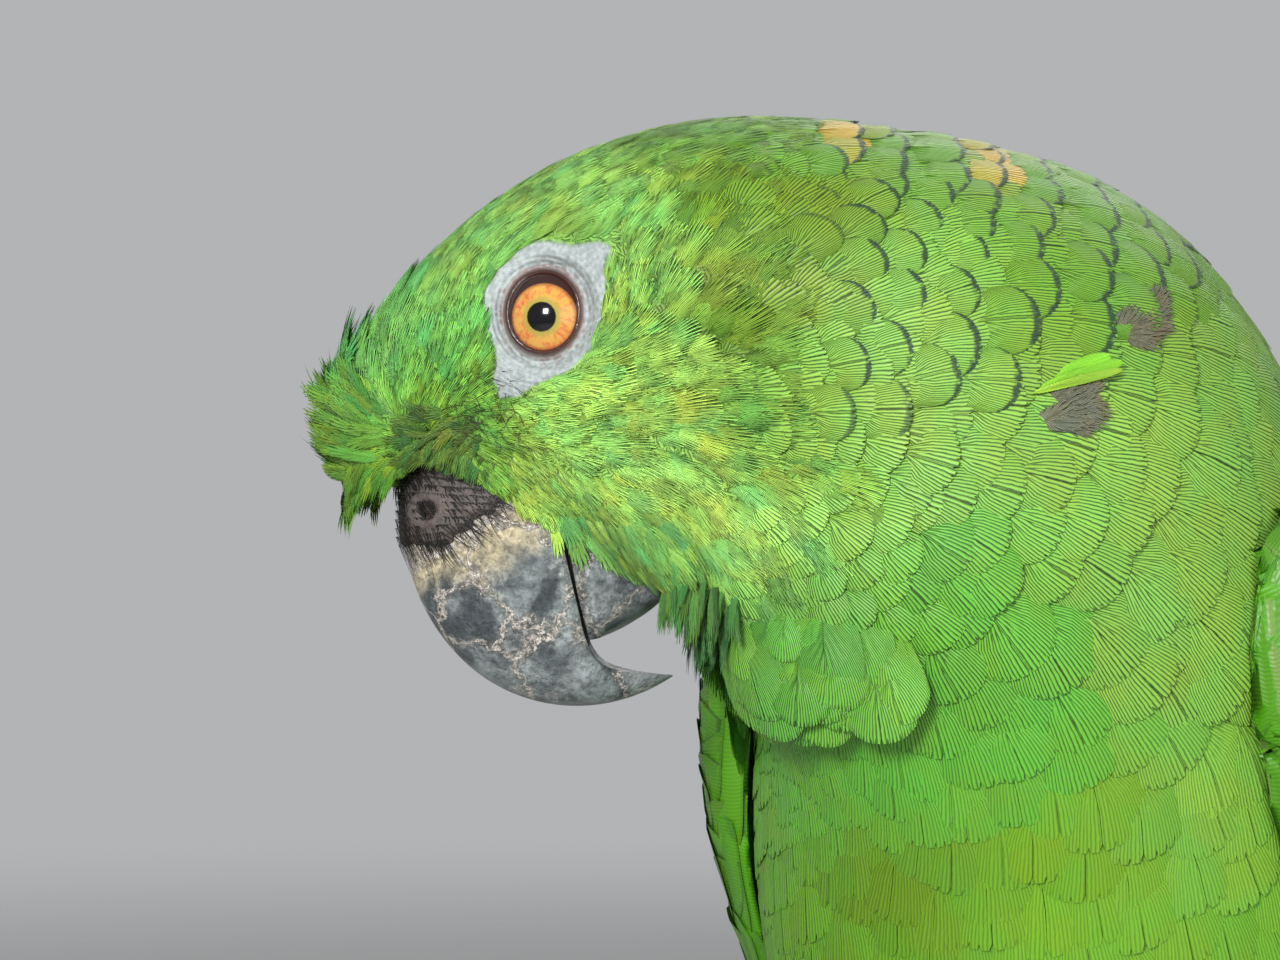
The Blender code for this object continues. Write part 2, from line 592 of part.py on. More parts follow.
def make_legs(root, trunk_room):
    for word, side in (("left", 1), ("right", -1)):
        foot = frame(f"foot_{word}", root, (side * FOOT_SIDE, -FOOT_AHEAD, 0))
        feathered, bare = (tube(upright_rings(table, side, points))
                           for table, points in ((THIGH, THIGH_AROUND), (SHANK, SHANK_AROUND)))
        thigh = place(f"thigh_{word}", feathered, FINISHES["body_feathers"], foot)
        cut(thigh, trunk_room)
        place(f"shank_{word}", bare, FINISHES["scaly_skin"], foot)
        for number, heading, length, joints, bend, claw_length in TOES:
            rings, forward, sideways, slim = toe_rings(side, heading, length, joints, bend)
            place(f"toe_{word}_{number}", tube(rings), FINISHES["scaly_skin"], foot)
            end = rings[-1].mean(axis=0)
            end[2] = TOE_END * TOE_HEIGHT * slim
            out = np.cross(sideways, (0, 0, 1.0)) * side
            out *= np.sign(np.dot(out, forward))
            place(f"claw_{word}_{number}", tube(claw_rings(end + out * GAP, out, sideways, claw_length)),
                  FINISHES["claw"], foot)


# ---------------------------------------------------------------- the whole bird

empty_scene()
PARTS, CUTTERS = collection("amazon_parrot"), collection("cutters")
FINISHES = {
    "face_feathers": finish("face_feathers", (0.24, 0.45, 0.10), 0.75),
    "nape_feathers": finish("nape_feathers", (0.22, 0.40, 0.08), 0.75),
    "body_feathers": finish("body_feathers", (0.16, 0.36, 0.05), 0.75),
    "flight_feathers": finish("flight_feathers", (0.06, 0.20, 0.02), 0.6),
    "iris": finish("iris", (0.75, 0.32, 0.08), 0.1),
    "horn": finish("horn", (0.13, 0.15, 0.16), 0.45),
    "cere": finish("cere", (0.04, 0.04, 0.035), 0.6),
    "scaly_skin": finish("scaly_skin", (0.22, 0.22, 0.21), 0.6),
    "claw": finish("claw", (0.05, 0.05, 0.05), 0.4),
}
bird = frame("parrot_frame")
eye_level = turned(0.0, EYE_AHEAD, EYE_HEIGHT, HEAD_TURN)
head_frame = frame("head_frame", bird, eye_level, (HEAD_BOW, 0, -HEAD_TURN))
head, trunk_room = make_body(bird)
tail_coverts = make_tail_coverts(bird)
make_eyes(head_frame, head)
make_bill(head_frame, head)
make_wings(bird)
make_tail(bird, tail_coverts)
make_legs(bird, trunk_room)

# The origin goes to the middle of the bird's box, on the ground.
bpy.context.view_layer.update()
corners = np.array([piece.matrix_world @ vertex.co for piece in PARTS.objects if piece.type == 'MESH'
                    for vertex in piece.data.vertices])
middle = (corners.min(axis=0) + corners.max(axis=0)) / 2
bird.location = (-middle[0], -middle[1], 0)
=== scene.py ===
"""Looks of the amazon parrot: skin, feathers, eyes, bill and feet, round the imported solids.

Lengths are in millimetres, and MM turns them into metres in the meshes.
"""
import math

import bpy
import numpy as np
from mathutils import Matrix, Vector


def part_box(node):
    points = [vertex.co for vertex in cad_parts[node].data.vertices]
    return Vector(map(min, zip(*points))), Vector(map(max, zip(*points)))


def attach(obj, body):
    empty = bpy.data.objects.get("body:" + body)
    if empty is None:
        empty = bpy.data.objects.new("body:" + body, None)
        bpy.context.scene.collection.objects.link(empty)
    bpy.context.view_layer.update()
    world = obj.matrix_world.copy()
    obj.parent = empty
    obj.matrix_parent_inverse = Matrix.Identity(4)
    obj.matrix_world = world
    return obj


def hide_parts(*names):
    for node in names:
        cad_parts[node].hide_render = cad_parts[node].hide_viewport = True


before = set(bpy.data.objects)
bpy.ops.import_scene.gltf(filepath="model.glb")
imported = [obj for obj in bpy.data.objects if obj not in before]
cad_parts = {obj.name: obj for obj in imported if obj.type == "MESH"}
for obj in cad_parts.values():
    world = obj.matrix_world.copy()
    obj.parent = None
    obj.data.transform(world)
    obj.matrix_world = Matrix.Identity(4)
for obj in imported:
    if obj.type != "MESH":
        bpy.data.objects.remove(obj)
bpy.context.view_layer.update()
MM = 0.001
CHANCE = np.random.default_rng(7)


# ---------------------------------------------------------------- the plumage's outer surface
# The bird's form under every piece below: a tube of cross-sections from the face to the tail
# coverts, the same one as the solids have. The skin lies under it and the feathers' tips on it.

foot_left, foot_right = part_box("shank_left"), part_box("shank_right")
TAIL_ROOT_BEHIND = 62.0        # of the body's origin
ORIGIN = np.array([(foot_left[0].x + foot_right[1].x) / 2 / MM,
                   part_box("tail")[0].y / MM - TAIL_ROOT_BEHIND, 0.0])
NECK_AXIS_AHEAD = 50.4         # the upright axis on which the head turns
HEAD_TURN = math.radians(60)
HEAD_BOW = math.radians(46)
BOW_COS, BOW_SIN = math.cos(HEAD_BOW), math.sin(HEAD_BOW)
EYE_AHEAD, EYE_HEIGHT = 50.8, 200.0
# Top and bottom of a section (ahead, height), half its width, squareness, turn, bow of its sides.
SECTIONS = np.array([
    (72.0, 178.5, 36.2, 166.2, 9.8, 2.0, 60, 5.4),     # face, round the base of the bill
    (74.8, 189.5, 35.4, 166.1, 11.8, 2.1, 60, 3.6),    # forehead
    (72.3, 197.0, 34.6, 165.9, 13.8, 2.25, 60, 2.0),
    (66.5, 204.3, 33.8, 165.6, 15.8, 2.35, 60, 0.8),   # brow
    (57.0, 212.9, 33.0, 165.1, 17.6, 2.35, 60, 0.0),   # crown, through the eyes
    (43.8, 219.9, 32.2, 164.3, 20.2, 2.2, 60, 0.0),    # back of the crown
    (28.0, 223.0, 31.0, 163.0, 23.5, 2.1, 60, 0.0),    # nape
    (12.0, 221.8, 28.8, 160.2, 26.8, 2.0, 54, 0.0),
    (-3.0, 219.2, 25.5, 155.0, 30.0, 2.0, 41, 0.0),    # hind neck
    (-19.5, 213.3, 20.5, 146.5, 33.6, 2.0, 25, 0.0),   # base of the neck
    (-38.5, 198.3, 15.0, 133.0, 36.6, 2.0, 10, 0.0),   # shoulders
    (-55.0, 176.0, 9.5, 114.0, 38.6, 2.0, 2, 0.0),     # breast
    (-68.5, 151.0, -1.5, 91.5, 39.0, 2.0, 0, 0.0),     # fore belly
    (-81.5, 126.5, -15.5, 65.0, 36.5, 2.0, 0, 0.0),    # belly
    (-94.5, 103.0, -37.5, 47.5, 30.5, 2.0, 0, 0.0),    # vent
    (-108.0, 82.0, -65.5, 40.5, 23.0, 2.0, 0, 0.0),    # rump
    (-122.5, 66.0, -97.0, 40.0, 16.5, 2.0, 0, 0.0),    # root of the tail
    (-135.5, 54.8, -118.5, 34.0, 14.5, 2.0, 0, 0.0),   # tail coverts
    (-149.0, 47.0, -139.0, 28.8, 14.5, 2.0, 0, 0.0),
    (-164.0, 39.8, -157.5, 24.2, 14.5, 2.0, 0, 0.0),
    (-178.5, 33.0, -173.0, 19.0, 14.0, 2.0, 0, 0.0),   # under the wing tips
], float)
HEAD_FORMS = (                 # ahead of and above the eye, radius, height
    (0.0, -0.6, 6.5, -0.9),    # orbit
    (3.5, 8.5, 5.5, 0.7),      # brow ridge
    (12.5, -5.0, 6.5, -1.3),   # lore
    (6.5, -19.0, 8.0, 1.0),    # cheek over the hinge of the jaw
    (-11.0, -9.0, 10.0, 1.2),  # ear coverts
)


def spline_bends(table):
    """Second differences of the natural cubic spline through the rows of a table."""
    rows = np.asarray(table, float)
    system = np.eye(len(rows))
    for i in range(1, len(rows) - 1):
        system[i, i - 1:i + 2] = (1, 4, 1)
    bends = np.zeros_like(rows)
    bends[1:-1] = 6 * (rows[:-2] - 2 * rows[1:-1] + rows[2:])
    return rows, np.linalg.solve(system, bends)


def through(curve, at):
    """Values of a natural cubic spline, where `at` counts its rows from 0."""
    rows, bends = curve
    low = np.clip(np.floor(at).astype(int), 0, len(rows) - 2)
    s = (at - low)[..., None]
    return (rows[low] * (1 - s) + rows[low + 1] * s
            + ((1 - s) ** 3 - (1 - s)) * bends[low] / 6 + (s ** 3 - s) * bends[low + 1] / 6)


def turned(side, ahead, height, turn):
    """A point beside and ahead of the neck axis, carried round that axis to the right."""
    x = side * np.cos(turn) - ahead * np.sin(turn)
    y = -NECK_AXIS_AHEAD - ahead * np.cos(turn) - side * np.sin(turn)
    return np.stack([x, y, np.broadcast_to(height, x.shape)], axis=-1) + ORIGIN


def bowed(ahead, above):
    """Distances from the eye along the bowed head and square to it, from level and upright ones."""
    return ahead * BOW_COS - above * BOW_SIN, ahead * BOW_SIN + above * BOW_COS


def unbowed(ahead, above):
    """Level and upright distances from the eye, from those along the bowed head and square to it."""
    return ahead * BOW_COS + above * BOW_SIN, above * BOW_COS - ahead * BOW_SIN


BODY_CURVE = spline_bends(SECTIONS)
PAST_FACE = (1, 1, 1, 1, 0.6, 0, 0, 0)    # shares of the first step between sections that go on past the face


def plumage(along, round_):
    """The outer surface: `along` counts sections from the face, `round_` is the angle from the left
    side over the back. A section is a superellipse between its top and bottom points. Past the
    face it goes on straight."""
    along, round_ = np.broadcast_arrays(np.asarray(along, float), np.asarray(round_, float))
    inside = np.maximum(along, 0.0)
    row = through(BODY_CURVE, inside)
    row = row + (BODY_CURVE[0][1] - BODY_CURVE[0][0]) * (along - inside)[..., None] * PAST_FACE
    top_a, top_z, bottom_a, bottom_z, half, square, turn, bow = np.moveaxis(row, -1, 0)
    power = 2 / square
    cos, sin = np.cos(round_), np.sin(round_)
    across = np.sign(cos) * np.abs(cos) ** power
    up = np.sign(sin) * np.abs(sin) ** power
    ahead = (top_a + bottom_a) / 2 + (top_a - bottom_a) / 2 * up
    height = (top_z + bottom_z) / 2 + (top_z - bottom_z) / 2 * up
    depth = np.hypot(top_a - bottom_a, top_z - bottom_z)
    ahead = ahead - (top_z - bottom_z) / depth * bow * cos ** 2
    height = height + (top_a - bottom_a) / depth * bow * cos ** 2
    front, above = bowed(ahead - EYE_AHEAD, height - EYE_HEIGHT)
    swell = sum(h * np.exp(-((front - f) ** 2 + (above - d) ** 2) / r ** 2)
                for f, d, r, h in HEAD_FORMS)
    side = half * across + swell * np.clip(2 * cos, -1, 1)
    return turned(side, ahead, height, np.radians(turn))


def slopes(surface, u, v, step=0.01):
    """Change of a surface's points with each of its two parameters."""
    return ((surface(u + step, v) - surface(u - step, v)) / (2 * step),
            (surface(u, v + step) - surface(u, v - step)) / (2 * step))


def unit(vectors):
    return vectors / np.maximum(np.linalg.norm(vectors, axis=-1, keepdims=True), 1e-9)


def outward(surface, u, v):
    """Unit normals: the cross product of the slopes both ways."""
    over_u, over_v = slopes(surface, u, v)
    return unit(np.cross(over_u, over_v))


BEHIND = np.array([math.sin(HEAD_TURN), math.cos(HEAD_TURN), 0.0])    # level, towards the nape
OUT_LEFT = np.array([math.cos(HEAD_TURN), -math.sin(HEAD_TURN), 0.0])  # level, out of the head's left side
UP = np.array([0.0, 0.0, 1.0])
BETWEEN_EYES = turned(np.array(0.0), EYE_AHEAD, EYE_HEIGHT, HEAD_TURN)


def from_eye(points):
    """Level distance behind the eye, height above it, and distance out to the left."""
    away = points - BETWEEN_EYES
    return away @ BEHIND, away @ UP, away @ OUT_LEFT


def on_head(behind, above):
    """The place (along, round_) on the left of the head at a distance behind and above the eye,
    by Newton's steps from the nearest of a coarse grid of places."""
    coarse_a, coarse_r = (g.ravel() for g in np.meshgrid(
        np.linspace(0, 9, 37), np.radians(np.linspace(-80, 84, 42)), indexing='ij'))
    coarse_b, coarse_z, _ = from_eye(plumage(coarse_a, coarse_r))
    behind, above = np.broadcast_arrays(np.asarray(behind, float), np.asarray(above, float))
    near = np.argmin((behind[..., None] - coarse_b) ** 2 + (above[..., None] - coarse_z) ** 2, axis=-1)
    along, round_ = coarse_a[near], coarse_r[near]
    for _ in range(8):
        b, z, _ = from_eye(plumage(along, round_))
        over_a, over_r = slopes(plumage, along, round_)
        ba, za, br, zr = over_a @ BEHIND, over_a @ UP, over_r @ BEHIND, over_r @ UP
        area = ba * zr - br * za
        area = np.where(np.abs(area) < 1e-3, 1e-3, area)
        along = along + np.clip(((behind - b) * zr - (above - z) * br) / area, -0.4, 0.4)
        round_ = round_ + np.clip(((above - z) * ba - (behind - b) * za) / area, -0.2, 0.2)
        along, round_ = np.clip(along, -0.3, 12), np.clip(round_, -1.45, 1.5)
    return along, round_


# ---------------------------------------------------------------- camera, light and floor
# The camera looks level at the left side of the head, close, as a portrait lens does. Soft light
# comes from beside the camera, and a pale floor lies under the bird.

def linear(red, green, blue):
    """A colour given in display values of 0 to 255, as shares of light."""
    shares = np.array([red, green, blue]) / 255
    return np.where(shares <= 0.04045, shares / 12.92, ((shares + 0.055) / 1.055) ** 2.4)


CAMERA_DISTANCE, VIEW_WIDTH, SENSOR = 420.0, 150.6, 36.0
CAMERA_ASIDE, CAMERA_BELOW = 11.4, 19.5    # of the eyes
lens = bpy.data.cameras.new("portrait")
lens.sensor_width, lens.lens = SENSOR, SENSOR * CAMERA_DISTANCE / VIEW_WIDTH
lens.clip_start = 0.01
camera = bpy.data.objects.new("portrait", lens)
camera_place = BETWEEN_EYES + CAMERA_ASIDE * BEHIND - CAMERA_BELOW * UP + CAMERA_DISTANCE * OUT_LEFT
camera.location = camera_place * MM
camera.rotation_euler = (math.pi / 2, 0, math.pi / 2 - HEAD_TURN)
bpy.context.scene.collection.objects.link(camera)
bpy.context.scene.camera = camera
bpy.context.scene.view_settings.view_transform = 'Standard'


def soft_light(name, place, size, watts):
    """A square of light at a place, turned to shine at the head."""
    lamp = bpy.data.lights.new(name, 'AREA')
    lamp.size, lamp.energy = size * MM, watts
    made = bpy.data.objects.new(name, lamp)
    made.location = place * MM
    axis = unit(place - BETWEEN_EYES)
    flat = math.hypot(axis[0], axis[1])
    made.rotation_euler = (math.atan2(flat, axis[2]), 0, math.atan2(axis[0], -axis[1]))
    bpy.context.scene.collection.objects.link(made)


soft_light("key", BETWEEN_EYES + 600 * OUT_LEFT - 150 * BEHIND + 170 * UP, 130, 5.6)
soft_light("fill", BETWEEN_EYES + 480 * OUT_LEFT + 420 * BEHIND + 60 * UP, 500, 1.6)
soft_light("rim", BETWEEN_EYES - 450 * OUT_LEFT + 150 * BEHIND + 420 * UP, 420, 2.2)

world = bpy.data.worlds.new("studio")
bpy.context.scene.world = world
world.use_nodes = True
sky = world.node_tree.nodes["Background"]
sky.inputs["Color"].default_value = (*linear(206, 208, 210), 1)
sky.inputs["Strength"].default_value = 0.72


class Wire:
    """A value, colour or vector that runs between a finish's nodes, for use in expressions."""

    def __init__(self, tree, socket):
        self.tree, self.socket = tree, socket

    def node(self, kind, settings=(), sockets=(), output=0):
        """A node of this finish: its settings first, then values or wires for its sockets."""
        made = self.tree.nodes.new(kind)
        for name, value in dict(settings).items():
            setattr(made, name, value)
        for name, value in dict(sockets).items():
            if isinstance(value, Wire):
                self.tree.links.new(value.socket, made.inputs[name])
            else:
                made.inputs[name].default_value = value
        return Wire(self.tree, made.outputs[output])

    def maths(self, operation, first, second=0.0):
        return self.node('ShaderNodeMath', {"operation": operation}, {0: first, 1: second})

    def __add__(self, other):
        return self.maths('ADD', self, other)

    def __sub__(self, other):
        return self.maths('SUBTRACT', self, other)

    def __mul__(self, other):
        return self.maths('MULTIPLY', self, other)

    def __pow__(self, other):
        return self.maths('POWER', self, other)

    __radd__, __rmul__ = __add__, __mul__

    def wave(self):
        """From 0 to 1 and back each time the value grows by 1."""
        return self.maths('COSINE', self * (2 * math.pi)) * -0.5 + 0.5

    def rise(self, low, high):
        """0 below `low`, 1 above `high`, smooth between them; `low` may be the higher."""
        return self.node('ShaderNodeMapRange', {"interpolation_type": 'SMOOTHSTEP'},
                         {0: self, 1: low, 2: high, 3: 0.0, 4: 1.0})

    def over(self, under, share):
        """This colour over another one, by a share."""
        return self.node('ShaderNodeMix', {"data_type": 'RGBA', "clamp_factor": True},
                         {0: share, 6: under, 7: self}, 2)

    def tinted(self, other, share=1.0):
        """This colour multiplied by another."""
        return self.node('ShaderNodeMix', {"data_type": 'RGBA', "blend_type": 'MULTIPLY'},
                         {0: share, 6: self, 7: other}, 2)

    def paint(self, *colour):
        """A plain colour over this finish's other ones, from display values."""
        made = self.node('ShaderNodeRGB')
        made.socket.default_value = (*linear(*colour), 1)
        return made

    def noise(self, place, scale, detail=3.0, distortion=0.0, roughness=0.5, output=0):
        return self.node('ShaderNodeTexNoise', (), {"Vector": place, "Scale": scale, "Detail": detail,
                                                    "Roughness": roughness, "Distortion": distortion}, output)

    def cells(self, place, scale, feature='F1'):
        return self.node('ShaderNodeTexVoronoi', {"feature": feature}, {"Vector": place, "Scale": scale})

    def attribute(self, name, output="Color"):
        return self.node('ShaderNodeAttribute', {"attribute_name": name}, (), output)

    def map(self, name):
        """The two parts of one of the piece's own UV maps."""
        where = self.node('ShaderNodeUVMap', {"uv_map": name})
        return tuple(self.node('ShaderNodeSeparateXYZ', (), {0: where}, k) for k in (0, 1))

    def bump(self, height, distance_mm):
        return self.node('ShaderNodeBump', (), {"Height": height, "Distance": distance_mm * MM})


def finish(name, roughness=0.6, **constants):
    """A new finish: the material, a wire of its place in millimetres, and a call that takes the
    wires of what varies over the surface."""
    made = bpy.data.materials.new(name)
    made.use_nodes = True
    tree = made.node_tree
    shader = tree.nodes["Principled BSDF"]
    shader.inputs["Roughness"].default_value = roughness
    for socket, value in constants.items():
        shader.inputs[socket.replace("_", " ")].default_value = value
    place = tree.nodes.new('ShaderNodeTexCoord').outputs["Object"]
    metres = Wire(tree, place)
    scaled = metres.node('ShaderNodeVectorMath', {"operation": 'SCALE'}, {0: metres, 3: 1 / MM})

    def dress(**wires):
        for socket, wire in wires.items():
            tree.links.new(wire.socket, shader.inputs[socket.replace("_", " ")])
        return made

    return made, scaled, dress


def piece(name, points, faces, material, maps=(), colours=(), values=(), slot=None, replaces=()):
    """A mesh piece from an array of points in millimetres and an array or arrays of faces. Maps
    hold two numbers a point, colours four and values one."""
    groups = faces if isinstance(faces, (list, tuple)) else [faces]
    corners = np.concatenate([g.ravel() for g in groups]).astype(np.int32)
    sizes = np.concatenate([np.full(len(g), g.shape[1]) for g in groups])
    mesh = bpy.data.meshes.new(name)
    mesh.vertices.add(len(points))
    mesh.vertices.foreach_set("co", (np.asarray(points) * MM).astype(np.float32).ravel())
    mesh.loops.add(len(corners))
    mesh.loops.foreach_set("vertex_index", corners)
    mesh.polygons.add(len(sizes))
    mesh.polygons.foreach_set("loop_start", (np.cumsum(sizes) - sizes).astype(np.int32))
    mesh.update(calc_edges=True)
    mesh.polygons.foreach_set("use_smooth", np.full(len(sizes), True))
    for label, pairs in dict(maps).items():
        layer = mesh.uv_layers.new(name=label)
        layer.data.foreach_set("uv", np.asarray(pairs, np.float32)[corners].ravel())
    for label, fours in dict(colours).items():
        layer = mesh.attributes.new(label, 'FLOAT_COLOR', 'POINT')
        layer.data.foreach_set("color", np.asarray(fours, np.float32).ravel())
    for label, ones in dict(values).items():
        layer = mesh.attributes.new(label, 'FLOAT', 'POINT')
        layer.data.foreach_set("value", np.asarray(ones, np.float32).ravel())
    mesh.materials.append(material)
    made = bpy.data.objects.new(name, mesh)
    bpy.context.scene.collection.objects.link(made)
    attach(made, "root")
    if replaces:
        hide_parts(*replaces)
    return made


def grid_faces(rows, columns, closed=False):
    """Four-cornered faces of a grid of points; a closed grid joins its last column to its first."""
    row, left = np.meshgrid(np.arange(rows - 1) * columns, np.arange(columns if closed else columns - 1),
                            indexing='ij')
    right, after = (left + 1) % columns, row + columns
    return np.stack([row + left, row + right, after + right, after + left], -1).reshape(-1, 4)


def closed_tube(points):
    """Faces of a closed grid of rings, with a fan over each end, and the grid with its two hubs."""
    rows, columns = points.shape[:2]
    ring, hub = np.arange(columns), rows * columns
    last = ring + (rows - 1) * columns
    faces = [grid_faces(rows, columns, closed=True),
             np.stack([np.roll(ring, -1), ring, np.full(columns, hub)], -1),
             np.stack([last, np.roll(last, -1), np.full(columns, hub + 1)], -1)]
    return np.concatenate([points.reshape(-1, 3), points[:1].mean(1), points[-1:].mean(1)]), faces


FLOOR_CLEAR = (500.0, 1350.0)    # distances over which the floor gives way to the studio's light
FLOOR_HALF = 1500.0
floor, place, dress = finish("pale_floor", roughness=0.75)
grain = place.noise(place, 0.05)
clear = place.node('ShaderNodeBsdfTransparent')
far_off = place.node('ShaderNodeVectorMath', {"operation": 'LENGTH'}, {0: place}, 1).rise(*FLOOR_CLEAR)
dress(Base_Color=place.paint(166, 166, 164).over(place.paint(160, 160, 157), grain))
shine = floor.node_tree.nodes["Principled BSDF"].outputs[0]
fading = place.node('ShaderNodeMixShader', (), {0: far_off, 1: Wire(place.tree, shine), 2: clear})
place.tree.links.new(fading.socket, floor.node_tree.nodes["Material Output"].inputs["Surface"])
plate = bpy.data.meshes.new("floor")
corners = ((-1, -1), (1, -1), (1, 1), (-1, 1))
plate.from_pydata([(x * FLOOR_HALF * MM, y * FLOOR_HALF * MM, 0) for x, y in corners], [], [(0, 1, 2, 3)])
plate.materials.append(floor)
ground = bpy.data.objects.new("floor", plate)
bpy.context.scene.collection.objects.link(ground)


# ---------------------------------------------------------------- markings
# The colours, lie and length of the feathers, set at places on the left of the head and neck and
# read between them. The skin takes the same colours. The right side mirrors the left one, except
# for the yellow feathers, the parting and the bright feather, which are on the left only.

COLOURS = {
    "bright": (121, 196, 94), "brow": (145, 200, 94), "lore": (129, 184, 69), "cheek": (168, 215, 103),
    "ear": (106, 136, 30), "nape": (106, 154, 42), "side": (126, 172, 70), "throat": (90, 162, 50),
    "breast": (102, 146, 20), "lower": (90, 130, 12), "front": (104, 150, 52),
    "jaw": (112, 172, 78),
}
# Behind and above the eye; lie of the feathers, in degrees from level backwards to upwards;
# length; colour.
PLACES = (
    (-24.5, -5.4, 112, 7.5, "bright"), (-25.0, -11.3, 145, 7.5, "bright"), (-23.3, -17.2, 172, 6.5, "front"),
    (-20.4, -23.0, 200, 6.0, "front"), (-18.0, -1.9, 95, 8.0, "bright"), (-19.2, -12.5, 120, 6.0, "bright"),
    (-13.3, -7.8, 85, 5.0, "bright"), (-13.3, 1.6, 70, 5.5, "brow"), (-8.6, 8.7, 50, 5.5, "brow"),
    (-0.4, 14.6, 38, 6.5, "brow"), (9.0, 19.3, 28, 8.0, "nape"), (-8.6, -3.0, 80, 3.8, "bright"),
    (-13.0, -12.0, 75, 4.0, "lore"), (-7.4, -13.0, 15, 3.6, "lore"), (-16.5, -16.0, 190, 3.8, "lore"),
    (-11.5, -17.0, -80, 3.4, "lore"), (-7.0, -18.6, -52, 4.0, "lore"),
    (-2.7, -12.5, 12, 4.0, "cheek"), (2.0, -11.3, 10, 4.5, "cheek"), (-2.7, -19.5, -52, 4.6, "cheek"),
    (2.0, -24.2, -70, 4.8, "cheek"), (9.0, -29.0, -80, 5.2, "cheek"), (16.0, -32.5, -82, 6.0, "cheek"),
    (9.0, -17.2, -10, 6.0, "cheek"), (4.0, 11.8, 30, 6.0, "brow"), (18.5, -21.9, -32, 7.0, "cheek"),
    (25.5, -29.0, -55, 8.0, "jaw"),
    (9.0, -0.7, 78, 4.2, "brow"), (9.0, 8.7, 66, 5.0, "brow"), (16.0, 7.5, 72, 8.0, "ear"),
    (25.5, 5.2, 52, 9.0, "ear"), (18.5, -3.0, 50, 9.0, "ear"), (11.4, -9.0, 22, 6.0, "cheek"),
    (20.8, -11.3, 15, 8.0, "side"), (36.0, 1.6, 24, 10.0, "side"), (35.0, -7.8, 5, 10.0, "side"),
    (35.0, -17.0, -12, 11.0, "side"), (37.0, -26.6, -38, 12.0, "throat"), (18.5, 19.3, 20, 8.0, "nape"),
    (30.0, 20.5, 6, 9.5, "nape"), (42.0, 17.0, -2, 11.0, "nape"), (48.0, 1.6, 0, 11.5, "nape"),
    (48.0, -13.6, -8, 13.0, "side"), (17.3, -36.0, -95, 6.5, "throat"), (65.5, 7.5, 10, 13.0, "nape"),
    (71.4, -4.2, 12, 16.0, "side"), (65.5, -16.0, -8, 17.0, "side"), (59.6, -29.0, -34, 18.0, "side"),
    (48.0, -36.0, -52, 17.0, "throat"), (36.0, -39.5, -74, 15.0, "throat"),
    (28.0, -38.0, -105, 11.0, "throat"),
    (77.0, -28.0, -28, 19.0, "side"), (77.0, -45.0, -60, 20.0, "side"), (54.0, -51.0, -76, 20.0, "breast"),
    (36.0, -57.0, -93, 19.0, "lower"), (71.0, -67.0, -84, 22.0, "breast"), (50.0, -70.0, -88, 22.0, "lower"),
)
HEAD_FLOW_TO, BODY_FLOW_FROM = 8.8, 10.6    # where the head's feathers give way to the body's
BODY_LENGTH = 21.0             # of the body's feathers
BREAST_GREEN, BACK_GREEN = linear(104, 160, 40), linear(74, 134, 36)


def readings(behind, above):
    """Lie (two parts of a direction), length and colour between the places, by weights that fall
    with the fourth power of the distance."""
    at = np.array([row[:2] for row in PLACES])
    lie = np.radians([row[2] for row in PLACES])
    told = np.column_stack([np.cos(lie), np.sin(lie), [row[3] for row in PLACES],
                            [linear(*COLOURS[row[4]]) for row in PLACES]])
    gap = (behind[..., None] - at[:, 0]) ** 2 + (above[..., None] - at[:, 1]) ** 2
    weight = 1 / (gap + 5.0) ** 2
    return (weight / weight.sum(-1, keepdims=True)) @ told


def smooth(value, low, high):
    """0 at `low`, 1 at `high`, with level ends."""
    share = np.clip((value - low) / (high - low), 0, 1)
    return share * share * (3 - 2 * share)


def coat(along, round_):
    """Direction in space, length and colour of the feathers at places on the plumage."""
    points = plumage(along, round_)
    behind, above, _ = from_eye(points)
    told = readings(behind, above)
    on_face = told[..., :1] * BEHIND + told[..., 1:2] * UP
    backwards = unit(slopes(plumage, along, round_)[0])
    share = smooth(along, HEAD_FLOW_TO, BODY_FLOW_FROM)[..., None]
    lie = unit(on_face) * (1 - share) + backwards * share
    length = told[..., 2] * (1 - share[..., 0]) + BODY_LENGTH * share[..., 0]
    back = smooth(np.sin(round_), -0.1, 0.5)[..., None]
    body_colour = BREAST_GREEN * (1 - back) + BACK_GREEN * back
    colour = told[..., 3:6] * (1 - share) + body_colour * share
    return lie, length, colour, behind, above


OPENING = (0.37, -0.42)        # middle of the eye's opening, behind and above
OPENING_RADII = (4.1, 4.62)
BARE_RADIUS, BARE_TALL = 7.1, 0.9
BARE_CORNERS = ((44.0, 15.0, 2.9), (244.0, 13.0, 3.6), (310.0, 28.0, -0.8))    # direction, spread, reach


def bare_reach(angle):
    """Radius of the featherless ring about the eye: an oval with two drawn-out corners."""
    reach = BARE_RADIUS + BARE_TALL * np.sin(angle) ** 2
    for direction, spread, more in BARE_CORNERS:
        off = (np.degrees(angle) - direction + 180) % 360 - 180
        reach = reach + more * np.exp(-(off / spread) ** 2)
    return reach


def bareness(behind, above):
    """Distance outside the rim of the featherless ring, negative within it."""
    b, z = behind - OPENING[0], above - OPENING[1]
    return np.hypot(b, z) - bare_reach(np.arctan2(z, b))


BILL_EDGE = np.array([         # above and ahead of the eye along the bowed head, from chin to cere
    (-36.0, 11.5), (-34.3, 12.3), (-30.0, 14.7), (-19.0, 16.9), (-12.0, 18.2), (-8.2, 19.2), (-4.0, 20.6),
    (-1.5, 22.6), (0.2, 27.0), (0.9, 34.0), (2.0, 60.0),
])


def on_bill(behind, above):
    """Distance ahead of the line where the feathers end against the bill and cere."""
    front, high = bowed(-behind, above)
    return front - np.interp(high, *BILL_EDGE.T)


# ---------------------------------------------------------------- skin
# One skin under the whole coat, as deep below the plumage as the feathers stand over it. Round
# each eye it is bare and white, and its own close grid of rings forms the lids.

